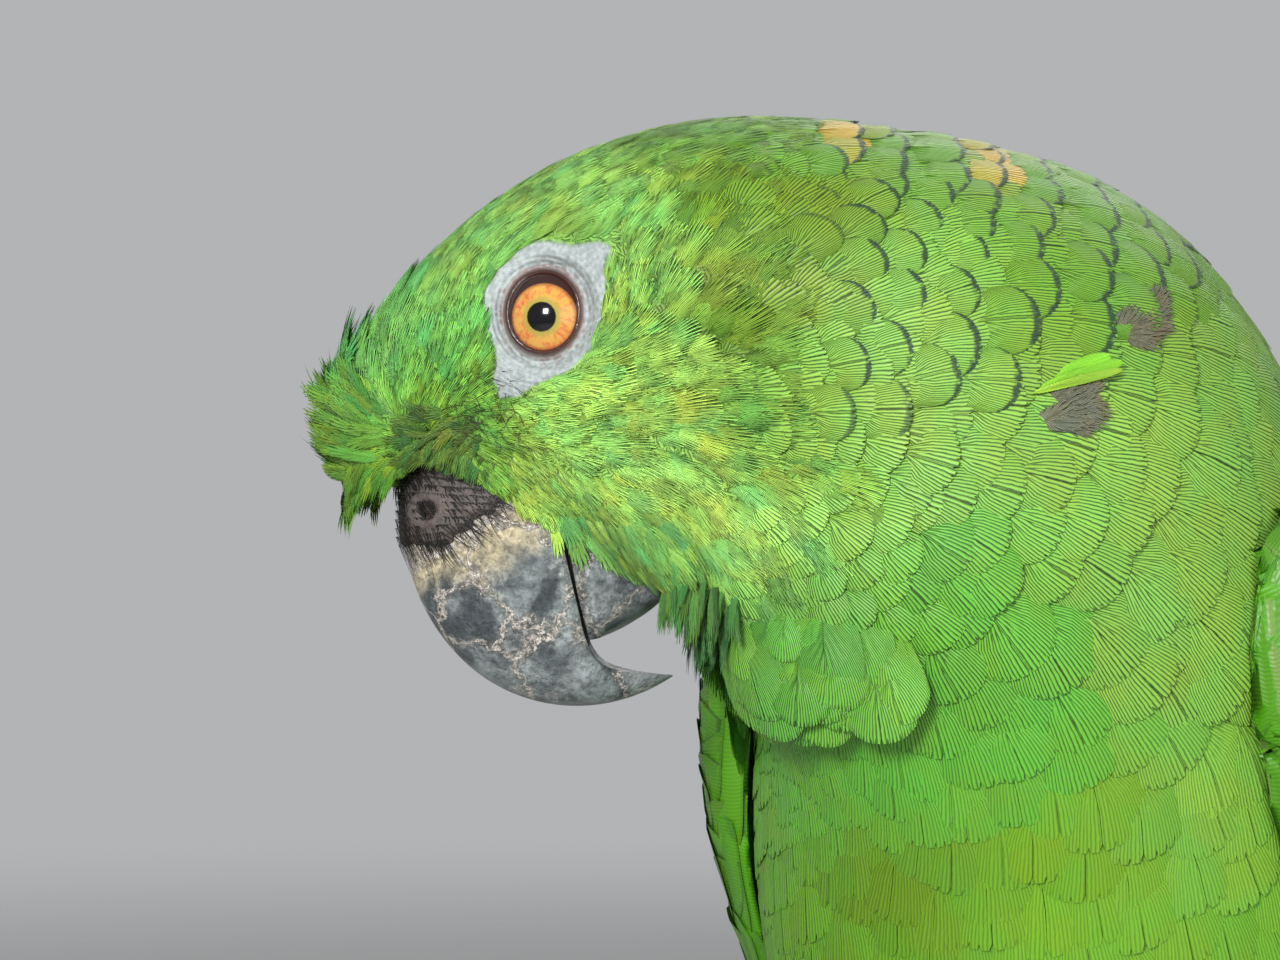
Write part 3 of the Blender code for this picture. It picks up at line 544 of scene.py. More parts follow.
COAT_DEPTHS = ((0, 2, 4, 6, 8, 10, 13, 16, 18),    # places along the body, and the depths there
               (1.4, 2.0, 2.6, 3.6, 5.0, 6.0, 6.5, 5.0, 3.0))
BARE_DEPTH, UNDER_BILL_DEPTH = 0.45, 4.0
HEAD_END, FACE_PART = 8.0, 3.0    # along the body: how far places beside the eye and the bill can lie


def coat_depth(along, round_):
    """How far the skin lies under the feathers' tips."""
    depth = np.interp(along, *COAT_DEPTHS)
    behind, above, _ = from_eye(plumage(along, round_))
    near_eye = 1 - smooth(bareness(behind, above), -0.5, 4.0) + 0 * along
    on_side = smooth(np.abs(np.cos(round_)), 0.25, 0.5) * (along < HEAD_END)
    under_bill = UNDER_BILL_DEPTH * smooth(on_bill(behind, above), -0.6, 0.9) * (along < FACE_PART)
    return depth * (1 - near_eye * on_side) + BARE_DEPTH * near_eye * on_side + under_bill


def skin_surface(along, round_):
    return plumage(along, round_) - outward(plumage, along, round_) * coat_depth(along, round_)[..., None]


skin, place, dress = finish("skin", roughness=0.62)
tint = place.attribute("tint")
bare = place.attribute("bare", "Fac")
ring_behind, ring_above = place.map("ring")
ring_out = place.attribute("from_lid", "Fac")
ring_turn = ring_above.maths('ARCTAN2', ring_above, ring_behind)
speckle_place = place.node('ShaderNodeCombineXYZ', (), {0: ring_turn * 5.8, 1: ring_out * 1.75, 2: 0.0})
speckle = speckle_place.cells(speckle_place, 1.0).rise(0.52, 0.26)
lid = ring_out.rise(0.55, 0.1)
near_lid = ring_out.rise(2.3, 0.5)
mottle = place.noise(place, 1.7, 4.0)
lines = (place.noise(place, 0.55, 3.0, 1.2) * 9.0 + ring_out * 1.3).wave()
white = place.paint(157, 166, 164).over(place.paint(128, 136, 135), mottle.rise(0.35, 0.7))
white = place.paint(150, 158, 158).over(white, lines.rise(0.82, 1.0) * 0.35)
white = place.paint(112, 98, 94).over(white, speckle * near_lid * 0.85)
white = place.paint(122, 98, 92).over(white, ring_out.rise(1.1, 0.4) * 0.7)
white = place.paint(58, 34, 28).over(white, lid)
drawn_out = place.node('ShaderNodeVectorMath', {"operation": 'MULTIPLY'}, {0: place, 1: (1.0, 0.35, 1.4)})
strands = place.noise(drawn_out, 1.6, 4.0)
under = tint.tinted(place.paint(216, 214, 190).over(place.paint(120, 124, 96), strands.rise(0.36, 0.6)))
wrinkle = place.noise(place, 2.4, 4.0) * 0.6 + (ring_out * 1.9).wave() * 0.25
dress(Base_Color=white.over(under, bare), Normal=place.bump(wrinkle, 0.12),
      Roughness=lid * -0.42 + 0.6)

WHOLE_TURN = 2 * math.pi
STATIONS = len(SECTIONS)       # the body's length in the unwrap of the coat's textures
OFF_EYE = 9.0                  # stands for any place away from the bare ring, in the maps about it
TAIL_TAPER, TAIL_TAPER_SHARE = (16.0, 19.0), 0.55    # where the skin narrows under the coverts


def around(count):
    """Angles at even steps of a whole turn."""
    return np.linspace(0, WHOLE_TURN, count, endpoint=False)


rows_along = np.concatenate([np.linspace(-0.15, 7, 150), np.linspace(7.06, TAIL_TAPER[1], 150)])
a_grid, r_grid = np.meshgrid(rows_along, around(180), indexing='ij')
skin_points = skin_surface(a_grid, r_grid)
narrow = smooth(a_grid, *TAIL_TAPER)[..., None]
skin_points = (skin_points * (1 - TAIL_TAPER_SHARE * narrow)
               + skin_points.mean(axis=1, keepdims=True) * TAIL_TAPER_SHARE * narrow)
_, _, skin_colour, b_grid, z_grid = coat(a_grid, r_grid)
inside_ring = (bareness(b_grid, z_grid) < -0.3) & (np.abs(np.cos(r_grid)) > 0.3) & (a_grid < HEAD_END)
cloud, (sides, *caps) = closed_tube(skin_points)
sides = sides[~inside_ring.reshape(-1)[sides].any(axis=1)]
unwrap = np.stack([r_grid / WHOLE_TURN, a_grid / STATIONS], -1).reshape(-1, 2)
parts = [(cloud, [sides, *caps], np.concatenate([skin_colour.reshape(-1, 3), skin_colour[[0, -1], 0]]),
          np.full((len(cloud), 2), OFF_EYE), np.zeros(len(cloud)), np.full(len(cloud), OFF_EYE),
          np.concatenate([unwrap, [(0, 0), (0, 1)]]))]

EYE_RADIUS = 6.3
EYE_CENTRE = (-0.5, -1.9, 11.0)    # ahead of and above the eye's place on the head, and out
eye_ahead, EYE_ABOVE = unbowed(*EYE_CENTRE[:2])
EYE_BEHIND = -eye_ahead
LID_ROWS, LID_COLUMNS = 46, 144
LID_IN, LID_RIM, UNDER_FEATHERS = 0.55, 0.42, 1.2    # reach in from the rim, its height, reach past the ring


def lids(side):
    """Rings about the eye's opening: in from the ball, over the rim of the lids, and out over the
    bare ring to just under the first feathers."""
    angle = around(LID_COLUMNS)[None, :]
    way = np.linspace(0, 1, LID_ROWS)[:, None]
    opening = np.hypot(OPENING_RADII[0] * np.cos(angle), OPENING_RADII[1] * np.sin(angle))
    from_rim = -LID_IN + (bare_reach(angle) + UNDER_FEATHERS - opening + LID_IN) * way ** 1.25
    reach = opening + from_rim
    behind, above = OPENING[0] + reach * np.cos(angle), OPENING[1] + reach * np.sin(angle)
    along, round_ = on_head(behind, above)
    out_skin = from_eye(skin_surface(along, round_))[2]
    off_ball = np.minimum(np.hypot(behind - EYE_BEHIND, above - EYE_ABOVE), EYE_RADIUS - 0.4)
    out_ball = EYE_CENTRE[2] + np.sqrt(EYE_RADIUS ** 2 - off_ball ** 2)
    rim = np.exp(-((from_rim - 0.12) / 0.34) ** 2)
    on_ball = 1 - smooth(from_rim, 0.15, 2.4)
    out = out_skin * (1 - on_ball) + (out_ball + 0.05) * on_ball + LID_RIM * rim
    out = out - 0.5 * smooth(-from_rim, 0.0, 0.5)
    rings = 0.05 * np.sin(WHOLE_TURN * from_rim / 0.62 + 1.3 * np.sin(angle * 2)) * smooth(from_rim, 0.6, 1.4)
    creases = 0.035 * np.sin(angle * 31 + 2 * np.sin(3 * angle)) * np.exp(-((from_rim - 1.1) / 0.7) ** 2)
    out = out + (rings + creases) * (1 - smooth(way, 0.8, 1.0)) + 0.16 * smooth(way, 0.4, 0.7)
    out = out - 0.5 * smooth(way, 0.93, 1.0)
    points = (BETWEEN_EYES + behind[..., None] * BEHIND + above[..., None] * UP
              + side * out[..., None] * OUT_LEFT)
    colour = coat(along, round_)[2]
    bared = 1 - smooth(bareness(behind, above), -0.35, 0.5)
    unwrap = np.stack([(round_ if side > 0 else math.pi - round_) / WHOLE_TURN % 1, along / STATIONS], -1)
    faces = grid_faces(LID_ROWS, LID_COLUMNS, closed=True)
    return (points.reshape(-1, 3), [faces if side < 0 else faces[:, ::-1]], colour.reshape(-1, 3),
            np.stack([behind - OPENING[0], above - OPENING[1]], -1).reshape(-1, 2), bared.ravel(),
            from_rim.ravel(), unwrap.reshape(-1, 2))


SIDES = (("left", 1), ("right", -1))
FOOT_SIDE, FOOT_AHEAD = 22.0, 16.0
THIGH = spline_bends([         # height, centre ahead of and outside the foot, half depth, half width
    (92.0, 10.0, -9.0, 8.0, 6.0), (84.0, 9.0, -6.5, 14.5, 11.5), (72.0, 6.0, -3.8, 17.5, 14.0),
    (58.0, 0.5, -1.8, 15.0, 12.0), (46.0, -4.0, -0.8, 11.0, 9.2), (38.0, -7.0, -0.2, 8.4, 7.4),
    (32.0, -9.0, 0.0, 6.2, 5.7),
])


def limb(curve, side, inset=0.0):
    """A surface round an upright limb: ovals along a table of heights, middles and half widths."""
    def surface(down, round_):
        height, ahead, out, deep, half = np.moveaxis(through(curve, down), -1, 0)
        x = side * (FOOT_SIDE + out) + (half - inset) * np.cos(round_)
        y = -FOOT_AHEAD - ahead + (deep - inset) * np.sin(round_)
        return np.stack([x, y, height], -1) + ORIGIN
    return surface


def thigh_skin(side, inset=1.6):
    """The feathered skin of a thigh: a closed tube in one colour."""
    down, round_ = np.meshgrid(np.linspace(0.4, 6, 24), around(32), indexing='ij')
    cloud, faces = closed_tube(limb(THIGH, side, inset)(down, round_)[:, ::-1])
    count = len(cloud)
    unwrap = (0.5 + 0.1 * side, 0.66) + 0.02 * np.linspace(0, 1, count)[:, None]
    return (cloud, faces, np.tile(linear(96, 150, 44), (count, 1)), np.full((count, 2), OFF_EYE),
            np.zeros(count), np.full(count, OFF_EYE), unwrap)


parts += [make(side) for make in (lids, thigh_skin) for _, side in SIDES]

offsets = np.cumsum([0] + [len(p[0]) for p in parts])
skin_faces = [np.concatenate([faces + start for part, start in zip(parts, offsets) for faces in part[1]
                              if faces.shape[1] == size]) for size in (4, 3)]
cloud, tints, rings, bares, lid_ways, unwraps = (
    np.concatenate([p[k] for p in parts]) for k in (0, 2, 3, 4, 5, 6))
piece("skin", cloud, skin_faces, skin, maps={"OFBake": unwraps, "ring": rings},
      colours={"tint": np.column_stack([tints, np.ones(len(tints))])},
      values={"bare": bares, "from_lid": lid_ways},
      slot="face_feathers", replaces=("head", "neck", "trunk", "tail_coverts", "thigh_left", "thigh_right"))


# ---------------------------------------------------------------- eyes
# Each eye is a dark ball with a bulging clear front. The iris is orange, yellow-green round the
# small pupil, streaked outwards from it.

IRIS_BEHIND, IRIS_ABOVE = 0.58, -1.05    # its middle, from the place of the eye on the head
IRIS_RADIUS, CORNEA_RADIUS, CORNEA_BULGE = 3.78, 4.4, 0.35

eye, place, dress = finish("eye", roughness=0.12, Coat_Weight=0.3, Coat_Roughness=0.02,
                           Specular_IOR_Level=0.25)
iris_x, iris_y = place.map("iris")
from_middle = (iris_x * iris_x + iris_y * iris_y) ** 0.5
turn = iris_y.maths('ARCTAN2', iris_y, iris_x)
streak_place = place.node('ShaderNodeCombineXYZ', (), {0: turn * 3.2, 1: from_middle * 0.5, 2: 0.0})
streaks = place.noise(streak_place, 3.0, 5.0, 0.4)
blotches = place.noise(place, 0.9, 3.0)
orange = place.paint(198, 132, 66).over(place.paint(180, 96, 54), streaks.rise(0.36, 0.62))
orange = place.paint(194, 150, 70).over(orange, blotches.rise(0.40, 0.6) * 0.8)
gold = place.paint(150, 136, 62).over(orange, (from_middle + streaks * 0.7).rise(3.0, 2.2))
rim = place.paint(120, 66, 38).over(gold, from_middle.rise(3.35, 3.8) * 0.75)
ball = place.paint(46, 26, 22).over(rim, from_middle.rise(3.74, 3.9))
black = place.paint(7, 7, 9).over(ball, (from_middle + streaks * 0.12).rise(1.84, 1.66))
dress(Base_Color=black)


def eyeball(side, rings=40, columns=72):
    """A sphere as rings about the line of sight, with the front pushed out over the iris by the
    bulge times (1 - (distance / cornea radius) squared) to the power of one and a half."""
    ball_at = BETWEEN_EYES + EYE_BEHIND * BEHIND + EYE_ABOVE * UP + side * EYE_CENTRE[2] * OUT_LEFT
    across = np.array([IRIS_BEHIND - EYE_BEHIND, IRIS_ABOVE - EYE_ABOVE])
    out = side * math.sqrt(EYE_RADIUS ** 2 - IRIS_RADIUS ** 2 - across @ across)
    sight = unit(across[0] * BEHIND + across[1] * UP + out * OUT_LEFT)
    level = unit(np.cross(UP, sight))
    upright = np.cross(sight, level)
    polar = np.linspace(0.03, math.pi - 0.03, rings)[:, None] ** 1.15 / (math.pi - 0.03) ** 0.15
    angle = around(columns)[None, :]
    reach = EYE_RADIUS * np.sin(polar)
    bulge = CORNEA_BULGE * np.clip(1 - (reach / CORNEA_RADIUS) ** 2, 0, 1) ** 1.5 * (polar < math.pi / 2)
    deep = EYE_RADIUS * np.cos(polar) + bulge
    points = (ball_at + (reach * np.cos(angle))[..., None] * level
              + (reach * np.sin(angle))[..., None] * upright + (deep + 0 * angle)[..., None] * sight)
    cloud, faces = closed_tube(points)
    front = np.where(polar < math.pi / 2, reach, 2 * EYE_RADIUS - reach)
    iris = np.stack([front * np.cos(angle), front * np.sin(angle)], -1).reshape(-1, 2)
    return cloud, [f[:, ::-1] for f in faces], np.concatenate([iris, [(0, 0), (12, 0)]])


for word, side in SIDES:
    cloud, faces, iris = eyeball(side)
    piece(f"eyeball_{word}", cloud, faces, eye, maps={"iris": iris}, slot="eye", replaces=(f"eye_{word}",))


# ---------------------------------------------------------------- bill and cere
# Horn over bone: grey, worn and flaking, with pale cracks between its plates and tan horn where
# it grows out of the cere. The upper jaw hooks over the lower. The cere is soft black skin
# with the nostrils in it.

JAW_CENTRE, JAW_RADIUS = (19.0, -21.5), 16.8
JAW_OPENING_UP, JAW_OPENING_DOWN = 0.00068, 0.0003    # growth of the radius per squared degree
ARCH_ACROSS, ARCH_UP, PALATE_HOLLOW = 0.86, 0.92, 0.16    # powers that square the arch, and the palate's rise
UPPER_JAW = spline_bends([     # angle of the ridge, cutting edge ahead of and above the eye, half width
    (92.0, 10.0, -15.5, 8.6), (72.0, 13.6, -17.0, 8.8), (51.0, 16.4, -19.0, 8.9), (31.0, 18.6, -22.0, 8.8),
    (11.0, 20.4, -24.8, 8.5), (-9.0, 22.0, -27.3, 7.9), (-29.0, 23.6, -29.8, 7.0), (-47.0, 24.5, -32.3, 5.9),
    (-61.0, 24.2, -34.5, 4.7), (-73.0, 22.7, -37.1, 3.3), (-82.0, 21.0, -39.3, 1.9), (-87.0, 20.0, -40.4, 0.9),
])
LOWER_JAW = spline_bends([     # upper edge, keel, half width
    (9.0, -17.0, 7.0, -29.5, 7.4), (14.2, -18.9, 11.0, -32.6, 7.7), (17.9, -22.7, 14.6, -33.4, 7.5),
    (20.3, -26.0, 17.6, -33.0, 6.9), (22.0, -28.7, 20.4, -32.2, 6.0), (23.1, -30.4, 22.5, -31.3, 5.0),
])
CERE_EDGE = np.array([         # the seam between cere and horn: ahead of the eye and above it
    (14.0, -13.2), (18.3, -12.2), (22.6, -11.2), (26.7, -10.7), (28.6, -9.6), (30.2, -7.4), (35.0, -5.4)])
CERE_SWELL, BASE_HALF_WIDTH = 0.5, 8.6
NOSTRIL = (25.6, -6.6)


def on_bowed_head(left, ahead, above):
    """Points from the head's own frame: left, along the bowed head, and square to both."""
    level, height = unbowed(ahead, above)
    return BETWEEN_EYES + left[..., None] * OUT_LEFT - level[..., None] * BEHIND + height[..., None] * UP


def jaw_arch(turn):
    """A rounded arch from the left cutting edge over the ridge: how far across, and how far up."""
    return np.sign(np.cos(turn)) * np.abs(np.cos(turn)) ** ARCH_ACROSS, np.abs(np.sin(turn)) ** ARCH_UP


def ridge(angle, outside=0.0):
    """Places ahead of and above the eye on the jaw's ridge, a spiral about the jaw's centre."""
    radius = JAW_RADIUS + outside + np.where(angle > 0, JAW_OPENING_UP, JAW_OPENING_DOWN) * angle ** 2
    turn = np.radians(angle)
    return JAW_CENTRE[0] + radius * np.cos(turn), JAW_CENTRE[1] + radius * np.sin(turn)


def upper_jaw(rows, arch_points=56, palate_points=10):
    """Sections from base to hook: the arch, and a palate hollowed upwards."""
    palate = np.linspace(-1, 1, palate_points)[1:-1]
    arch_across, arch_up = jaw_arch(np.linspace(0, math.pi, arch_points + 1))
    across = np.concatenate([arch_across, palate])
    up = np.concatenate([arch_up, PALATE_HOLLOW * (1 - palate ** 2)])
    angle, edge_f, edge_d, half = (through(UPPER_JAW, rows)[:, k, None] for k in range(4))
    ridge_f, ridge_d = ridge(angle)
    return half * across, edge_f + (ridge_f - edge_f) * up, edge_d + (ridge_d - edge_d) * up


def side_map(ahead, above):
    """Where a closed tube's points, its two hubs last, are in a side view of the head."""
    hubs = [(ahead[k].mean(), above[k].mean()) for k in (0, -1)]
    return np.concatenate([np.stack([ahead, above], -1).reshape(-1, 2), hubs])


def flakes(left, ahead, above, grain):
    """Height of worn horn: a few waves of unlike directions added and folded, from 0 to 1."""
    total = 0
    for k, (x, y, z) in enumerate(((1.0, 0.3, 0.7), (-0.4, 1.1, 0.5), (0.7, -0.6, 1.2), (-0.9, 0.8, -0.3))):
        bent = 1.5 * np.sin(grain * 0.6 * (z * left + x * ahead - y * above))
        total = total + np.sin(grain * (1 + 0.37 * k) * (x * left + y * ahead + z * above) + 1.7 * k + bent)
    return np.abs(total) / 4


horn, place, dress = finish("horn", roughness=0.42, Coat_Weight=0.15, Coat_Roughness=0.35)
jaw_ahead, _ = place.map("jaw")
warp = place.noise(place, 0.20, 3.0, 0.6)
wide = place.noise(place, 0.085, 3.0, 0.8)
fine = place.noise(place, 1.3, 6.0, 0.3, 0.7)
shift = place.node('ShaderNodeVectorMath', {"operation": 'MULTIPLY_ADD'}, {
    0: place.noise(place, 0.17, 8.0, 0.0, 0.72, output=1), 1: (10.0, 10.0, 10.0), 2: place})
plates = place.cells(shift, 0.095, 'DISTANCE_TO_EDGE')
vein = plates.rise(0.040, 0.006) * fine.rise(0.28, 0.42)
scurf = plates.rise(0.16, 0.02) * fine.rise(0.38, 0.58) * wide.rise(0.42, 0.56)
slate = place.paint(130, 139, 140).over(place.paint(64, 72, 76), warp.rise(0.40, 0.58))
slate = place.paint(150, 157, 158).over(slate, wide.rise(0.48, 0.62) * 0.7)
off_seam = place.attribute("off_seam", "Fac")
near_cere = (off_seam + (warp - 0.5) * 10.0).rise(-8.5, -3.0) * jaw_ahead.rise(14.0, 18.0)
tan = place.paint(216, 200, 160).over(place.paint(182, 170, 140), (warp + fine * 0.3).rise(0.48, 0.74))
body_horn = tan.over(slate, near_cere * 0.9)
seam = (off_seam + (warp - 0.5) * 5.0 + fine * 1.2).rise(-1.9, -0.7) * fine.rise(0.36, 0.52)
worn = place.paint(168, 164, 158).over(body_horn, scurf * 0.7)
pale = vein.maths('MAXIMUM', vein, seam * jaw_ahead.rise(15.0, 18.0)) * 0.9
worn = place.paint(214, 206, 196).over(worn, pale)
scuffed = worn.tinted(place.paint(255, 255, 255).over(place.paint(176, 176, 174), fine.rise(0.3, 0.66)))
height = fine * 0.5 + vein * 0.9 + scurf * 0.5 + plates.rise(0.0, 0.35) * 1.6
dress(Base_Color=scuffed, Roughness=vein * 0.35 + fine * 0.25 + 0.22, Normal=place.bump(height, 0.30))


def above_seam(ahead, above):
    """Distance above the seam's wavy line; above it is cere."""
    seam = np.interp(ahead, CERE_EDGE[:, 0], CERE_EDGE[:, 1])
    return above - seam + 0.30 * np.sin(ahead * 1.9) + 0.18 * np.sin(ahead * 4.3 + 1)


left, ahead, above = upper_jaw(np.linspace(0, 11, 150))
over_seam = above_seam(ahead, above)
pinch = 1 - 0.02 * (flakes(left, ahead, above, 0.5) < 0.12) * smooth(-over_seam, 0.0, 1.2)
sunk = 1 - 0.22 * smooth(over_seam, 0.0, 1.6)    # under the cere
cloud, faces = closed_tube(on_bowed_head(left * pinch * sunk, ahead, above))
jaw_map = side_map(ahead, above)
piece("bill_upper_horn", cloud, faces, horn, maps={"jaw": jaw_map},
      values={"off_seam": above_seam(*jaw_map.T)}, slot="horn", replaces=("bill_upper",))

BELOW_SEAM = -20.0             # stands for horn that is nowhere near the cere
sections = through(LOWER_JAW, np.linspace(0, 5, 70))
edge_f, edge_d, keel_f, keel_d, half = (sections[:, k, None] for k in range(5))
arch, inside = np.linspace(0, math.pi, 49), np.linspace(-1, 1, 12)[1:-1]
down = np.concatenate([np.sin(arch) ** 0.8, 0.10 * (1 - inside ** 2)])
left = half * np.concatenate([np.cos(arch), inside])
ahead, above = edge_f + (keel_f - edge_f) * down, edge_d + (keel_d - edge_d) * down
ahead = ahead + 0.5 * (1 - down)
cloud, faces = closed_tube(on_bowed_head(left, ahead, above))
piece("bill_lower_horn", cloud, [f[:, ::-1] for f in faces], horn, maps={"jaw": side_map(ahead, above)},
      values={"off_seam": np.full(len(cloud), BELOW_SEAM)}, slot="horn", replaces=("bill_lower",))

gape, place, dress = finish("mouth_lining", roughness=0.6)
dress(Base_Color=place.paint(92, 92, 90).over(place.paint(58, 60, 60), place.noise(place, 0.8)))
upper_edge = through(UPPER_JAW, np.linspace(0, 6.4, 30))[:, 1:3]
lower_edge = through(LOWER_JAW, np.linspace(0, 4.6, 30))[:, :2]
narrow = np.linspace(7.2, 4.6, 30)[:, None]
corner_left = np.array([-1, -1, -0.4, 0.4, 1, 1, 0.4, -0.4]) * 0.86
mix = np.array([-0.12, 1.15, 1.3, 1.3, 1.15, -0.12, -0.3, -0.3])
section_f = lower_edge[:, :1] + (upper_edge[:, :1] - lower_edge[:, :1]) * mix
section_d = lower_edge[:, 1:] + (upper_edge[:, 1:] - lower_edge[:, 1:]) * mix
cloud, faces = closed_tube(on_bowed_head(narrow * corner_left, section_f, section_d))
piece("mouth_lining", cloud, faces, gape, slot="cere")

cere, place, dress = finish("cere", roughness=0.55)
pits = place.noise(place, 1.6, 5.0, 0.2, 0.65)
pink = place.noise(place, 0.22, 2.0).rise(0.54, 0.68) * 0.35
soft = place.paint(40, 37, 35).over(place.paint(80, 73, 69), pits.rise(0.42, 0.66))
soft = place.paint(98, 80, 75).over(soft, pink)
dress(Base_Color=soft, Roughness=pits * 0.4 + 0.35, Normal=place.bump(pits, 0.25))
left, ahead, above = upper_jaw(np.linspace(0, 5.2, 90))
left = left * (1 + CERE_SWELL / BASE_HALF_WIDTH)
over_seam = above_seam(ahead, above)
swell = 0.55 * smooth(over_seam, -0.2, 0.9)
hole = np.hypot(ahead - NOSTRIL[0], above - NOSTRIL[1])
swell = swell + 0.5 * np.exp(-((hole - 1.5) / 0.7) ** 2) - 1.6 * np.exp(-(hole / 0.85) ** 2)
sinking = 1.3 * smooth(-over_seam, 0.0, 0.7)
points = on_bowed_head(left, ahead, above)
off_middle = unit(points - points.mean(axis=1, keepdims=True))
cloud, faces = closed_tube(points + off_middle * (swell - sinking)[..., None])
piece("cere_skin", cloud, faces, cere, slot="cere", replaces=("cere",))


# ---------------------------------------------------------------- contour feathers
# Each feather is a vane of barbs swept forwards from a shaft that ends short of the tip. Its root
# is on the skin and its outer part lies on the feathers behind it. The barbs part at the edge,
# most on the face. Grey down shows at the base.

feather, place, dress = finish("feather", roughness=0.5, Specular_IOR_Level=0.35)
tint = place.attribute("tint")
fringe = place.attribute("fringe", "Fac")
barb, off_shaft = place.map("barbs")
_, way = place.map("vane")
down = place.attribute("down", "Fac")
flecks = place.noise(place, 1.1, 4.0)
# Where the wave of the barbs dips, the vane darkens towards (58, 66, 40) and the grey down towards (66, 64, 56).
# This is painted shade in the gaps between the barbs, and a value of each feather sets how strong it is on the
# vane.
groove = (barb + flecks * 0.4).wave()
gap_shade_strength = (flecks.rise(0.2, 0.62) * 0.25 + 0.75) * place.attribute("firm", "Fac")
lined = tint.tinted(place.paint(255, 255, 255).over(place.paint(58, 66, 40), groove.rise(0.06, 0.50)), gap_shade_strength)
hue = place.noise(place, 0.14, 3.0)
lined = lined.tinted(place.paint(255, 240, 176).over(place.paint(216, 255, 236), hue.rise(0.36, 0.64)), 0.45)
margin = (off_shaft + way * 0.35 + flecks * 0.20).rise(1.31, 1.39)
edged = place.paint(38, 62, 40).over(lined, margin * flecks.rise(0.30, 0.46) * fringe)
downy = place.paint(112, 108, 96).over(place.paint(66, 64, 56), groove)
based = downy.over(edged, (way + flecks * 0.14).rise(0.38, 0.22) * down)
dress(Base_Color=based, Roughness=groove * -0.2 + 0.62, Normal=place.bump(groove, 0.06))


def vane(strips, segments, fray, widest=0.58, spread=144.0, sweep=0.0, bend=1.4, point=0.45, edge=1.0):
    """The plan of a feather of unit length and unit half width: for each place along each strip of
    barbs, which barb it is (0 at the base, 1 at the tip), how far out along it, and x and y.

    A barb runs from the shaft at 0.05 + (0.8 - sweep) u to the outline, an egg widest at `widest`;
    it goes out first and then bends forwards: x = X (1 - (1 - v)^bend), y = s + (Y - s) v^1.25.
    Strips narrow by `fray` towards the outline, and end in a `point` of their width; `edge` brings
    the steps along a strip nearer to its end."""
    v = 1 - (1 - np.linspace(0, 1, segments + 1)) ** edge
    middle = (np.arange(strips) + 0.5) / strips
    half = 0.5 / strips * (1.12 - (0.12 + fray) * v ** 2)
    half[-1] *= point
    u = middle[:, None, None] + half[None, :, None] * np.array([-1, 1])
    v = v[None, :, None] + 0 * u
    theta = np.radians(spread) * (1 - np.clip(u, -0.05, 1.02))
    out_x = np.sin(np.clip(theta, 0, None)) ** 0.85
    out_y = np.where(np.cos(theta) > 0, widest + (1 - widest) * np.cos(theta),
                     widest * (1 + 0.88 * np.cos(theta)))
    start = 0.05 + (0.80 - sweep) * u
    x = out_x * (1 - (1 - v) ** bend) + 0.006
    y = start + (out_y - start) * v ** 1.25
    one = np.stack([u, v, x, y], -1)
    plan = np.concatenate([one, one * (1, 1, -1, 1)]).reshape(-1, 4)
    per_strip = (segments + 1) * 2
    step = np.arange(segments) * 2
    quads = step[:, None] + np.array([0, 1, 3, 2])
    faces = (np.arange(2 * strips) * per_strip)[:, None, None] + quads
    faces[:strips] = faces[:strips, :, ::-1]
    return plan, faces.reshape(-1, 4)


BARB_WIDTH = 0.44
PATCH = 0.003                  # breadth of a feather's patch in the unwrap


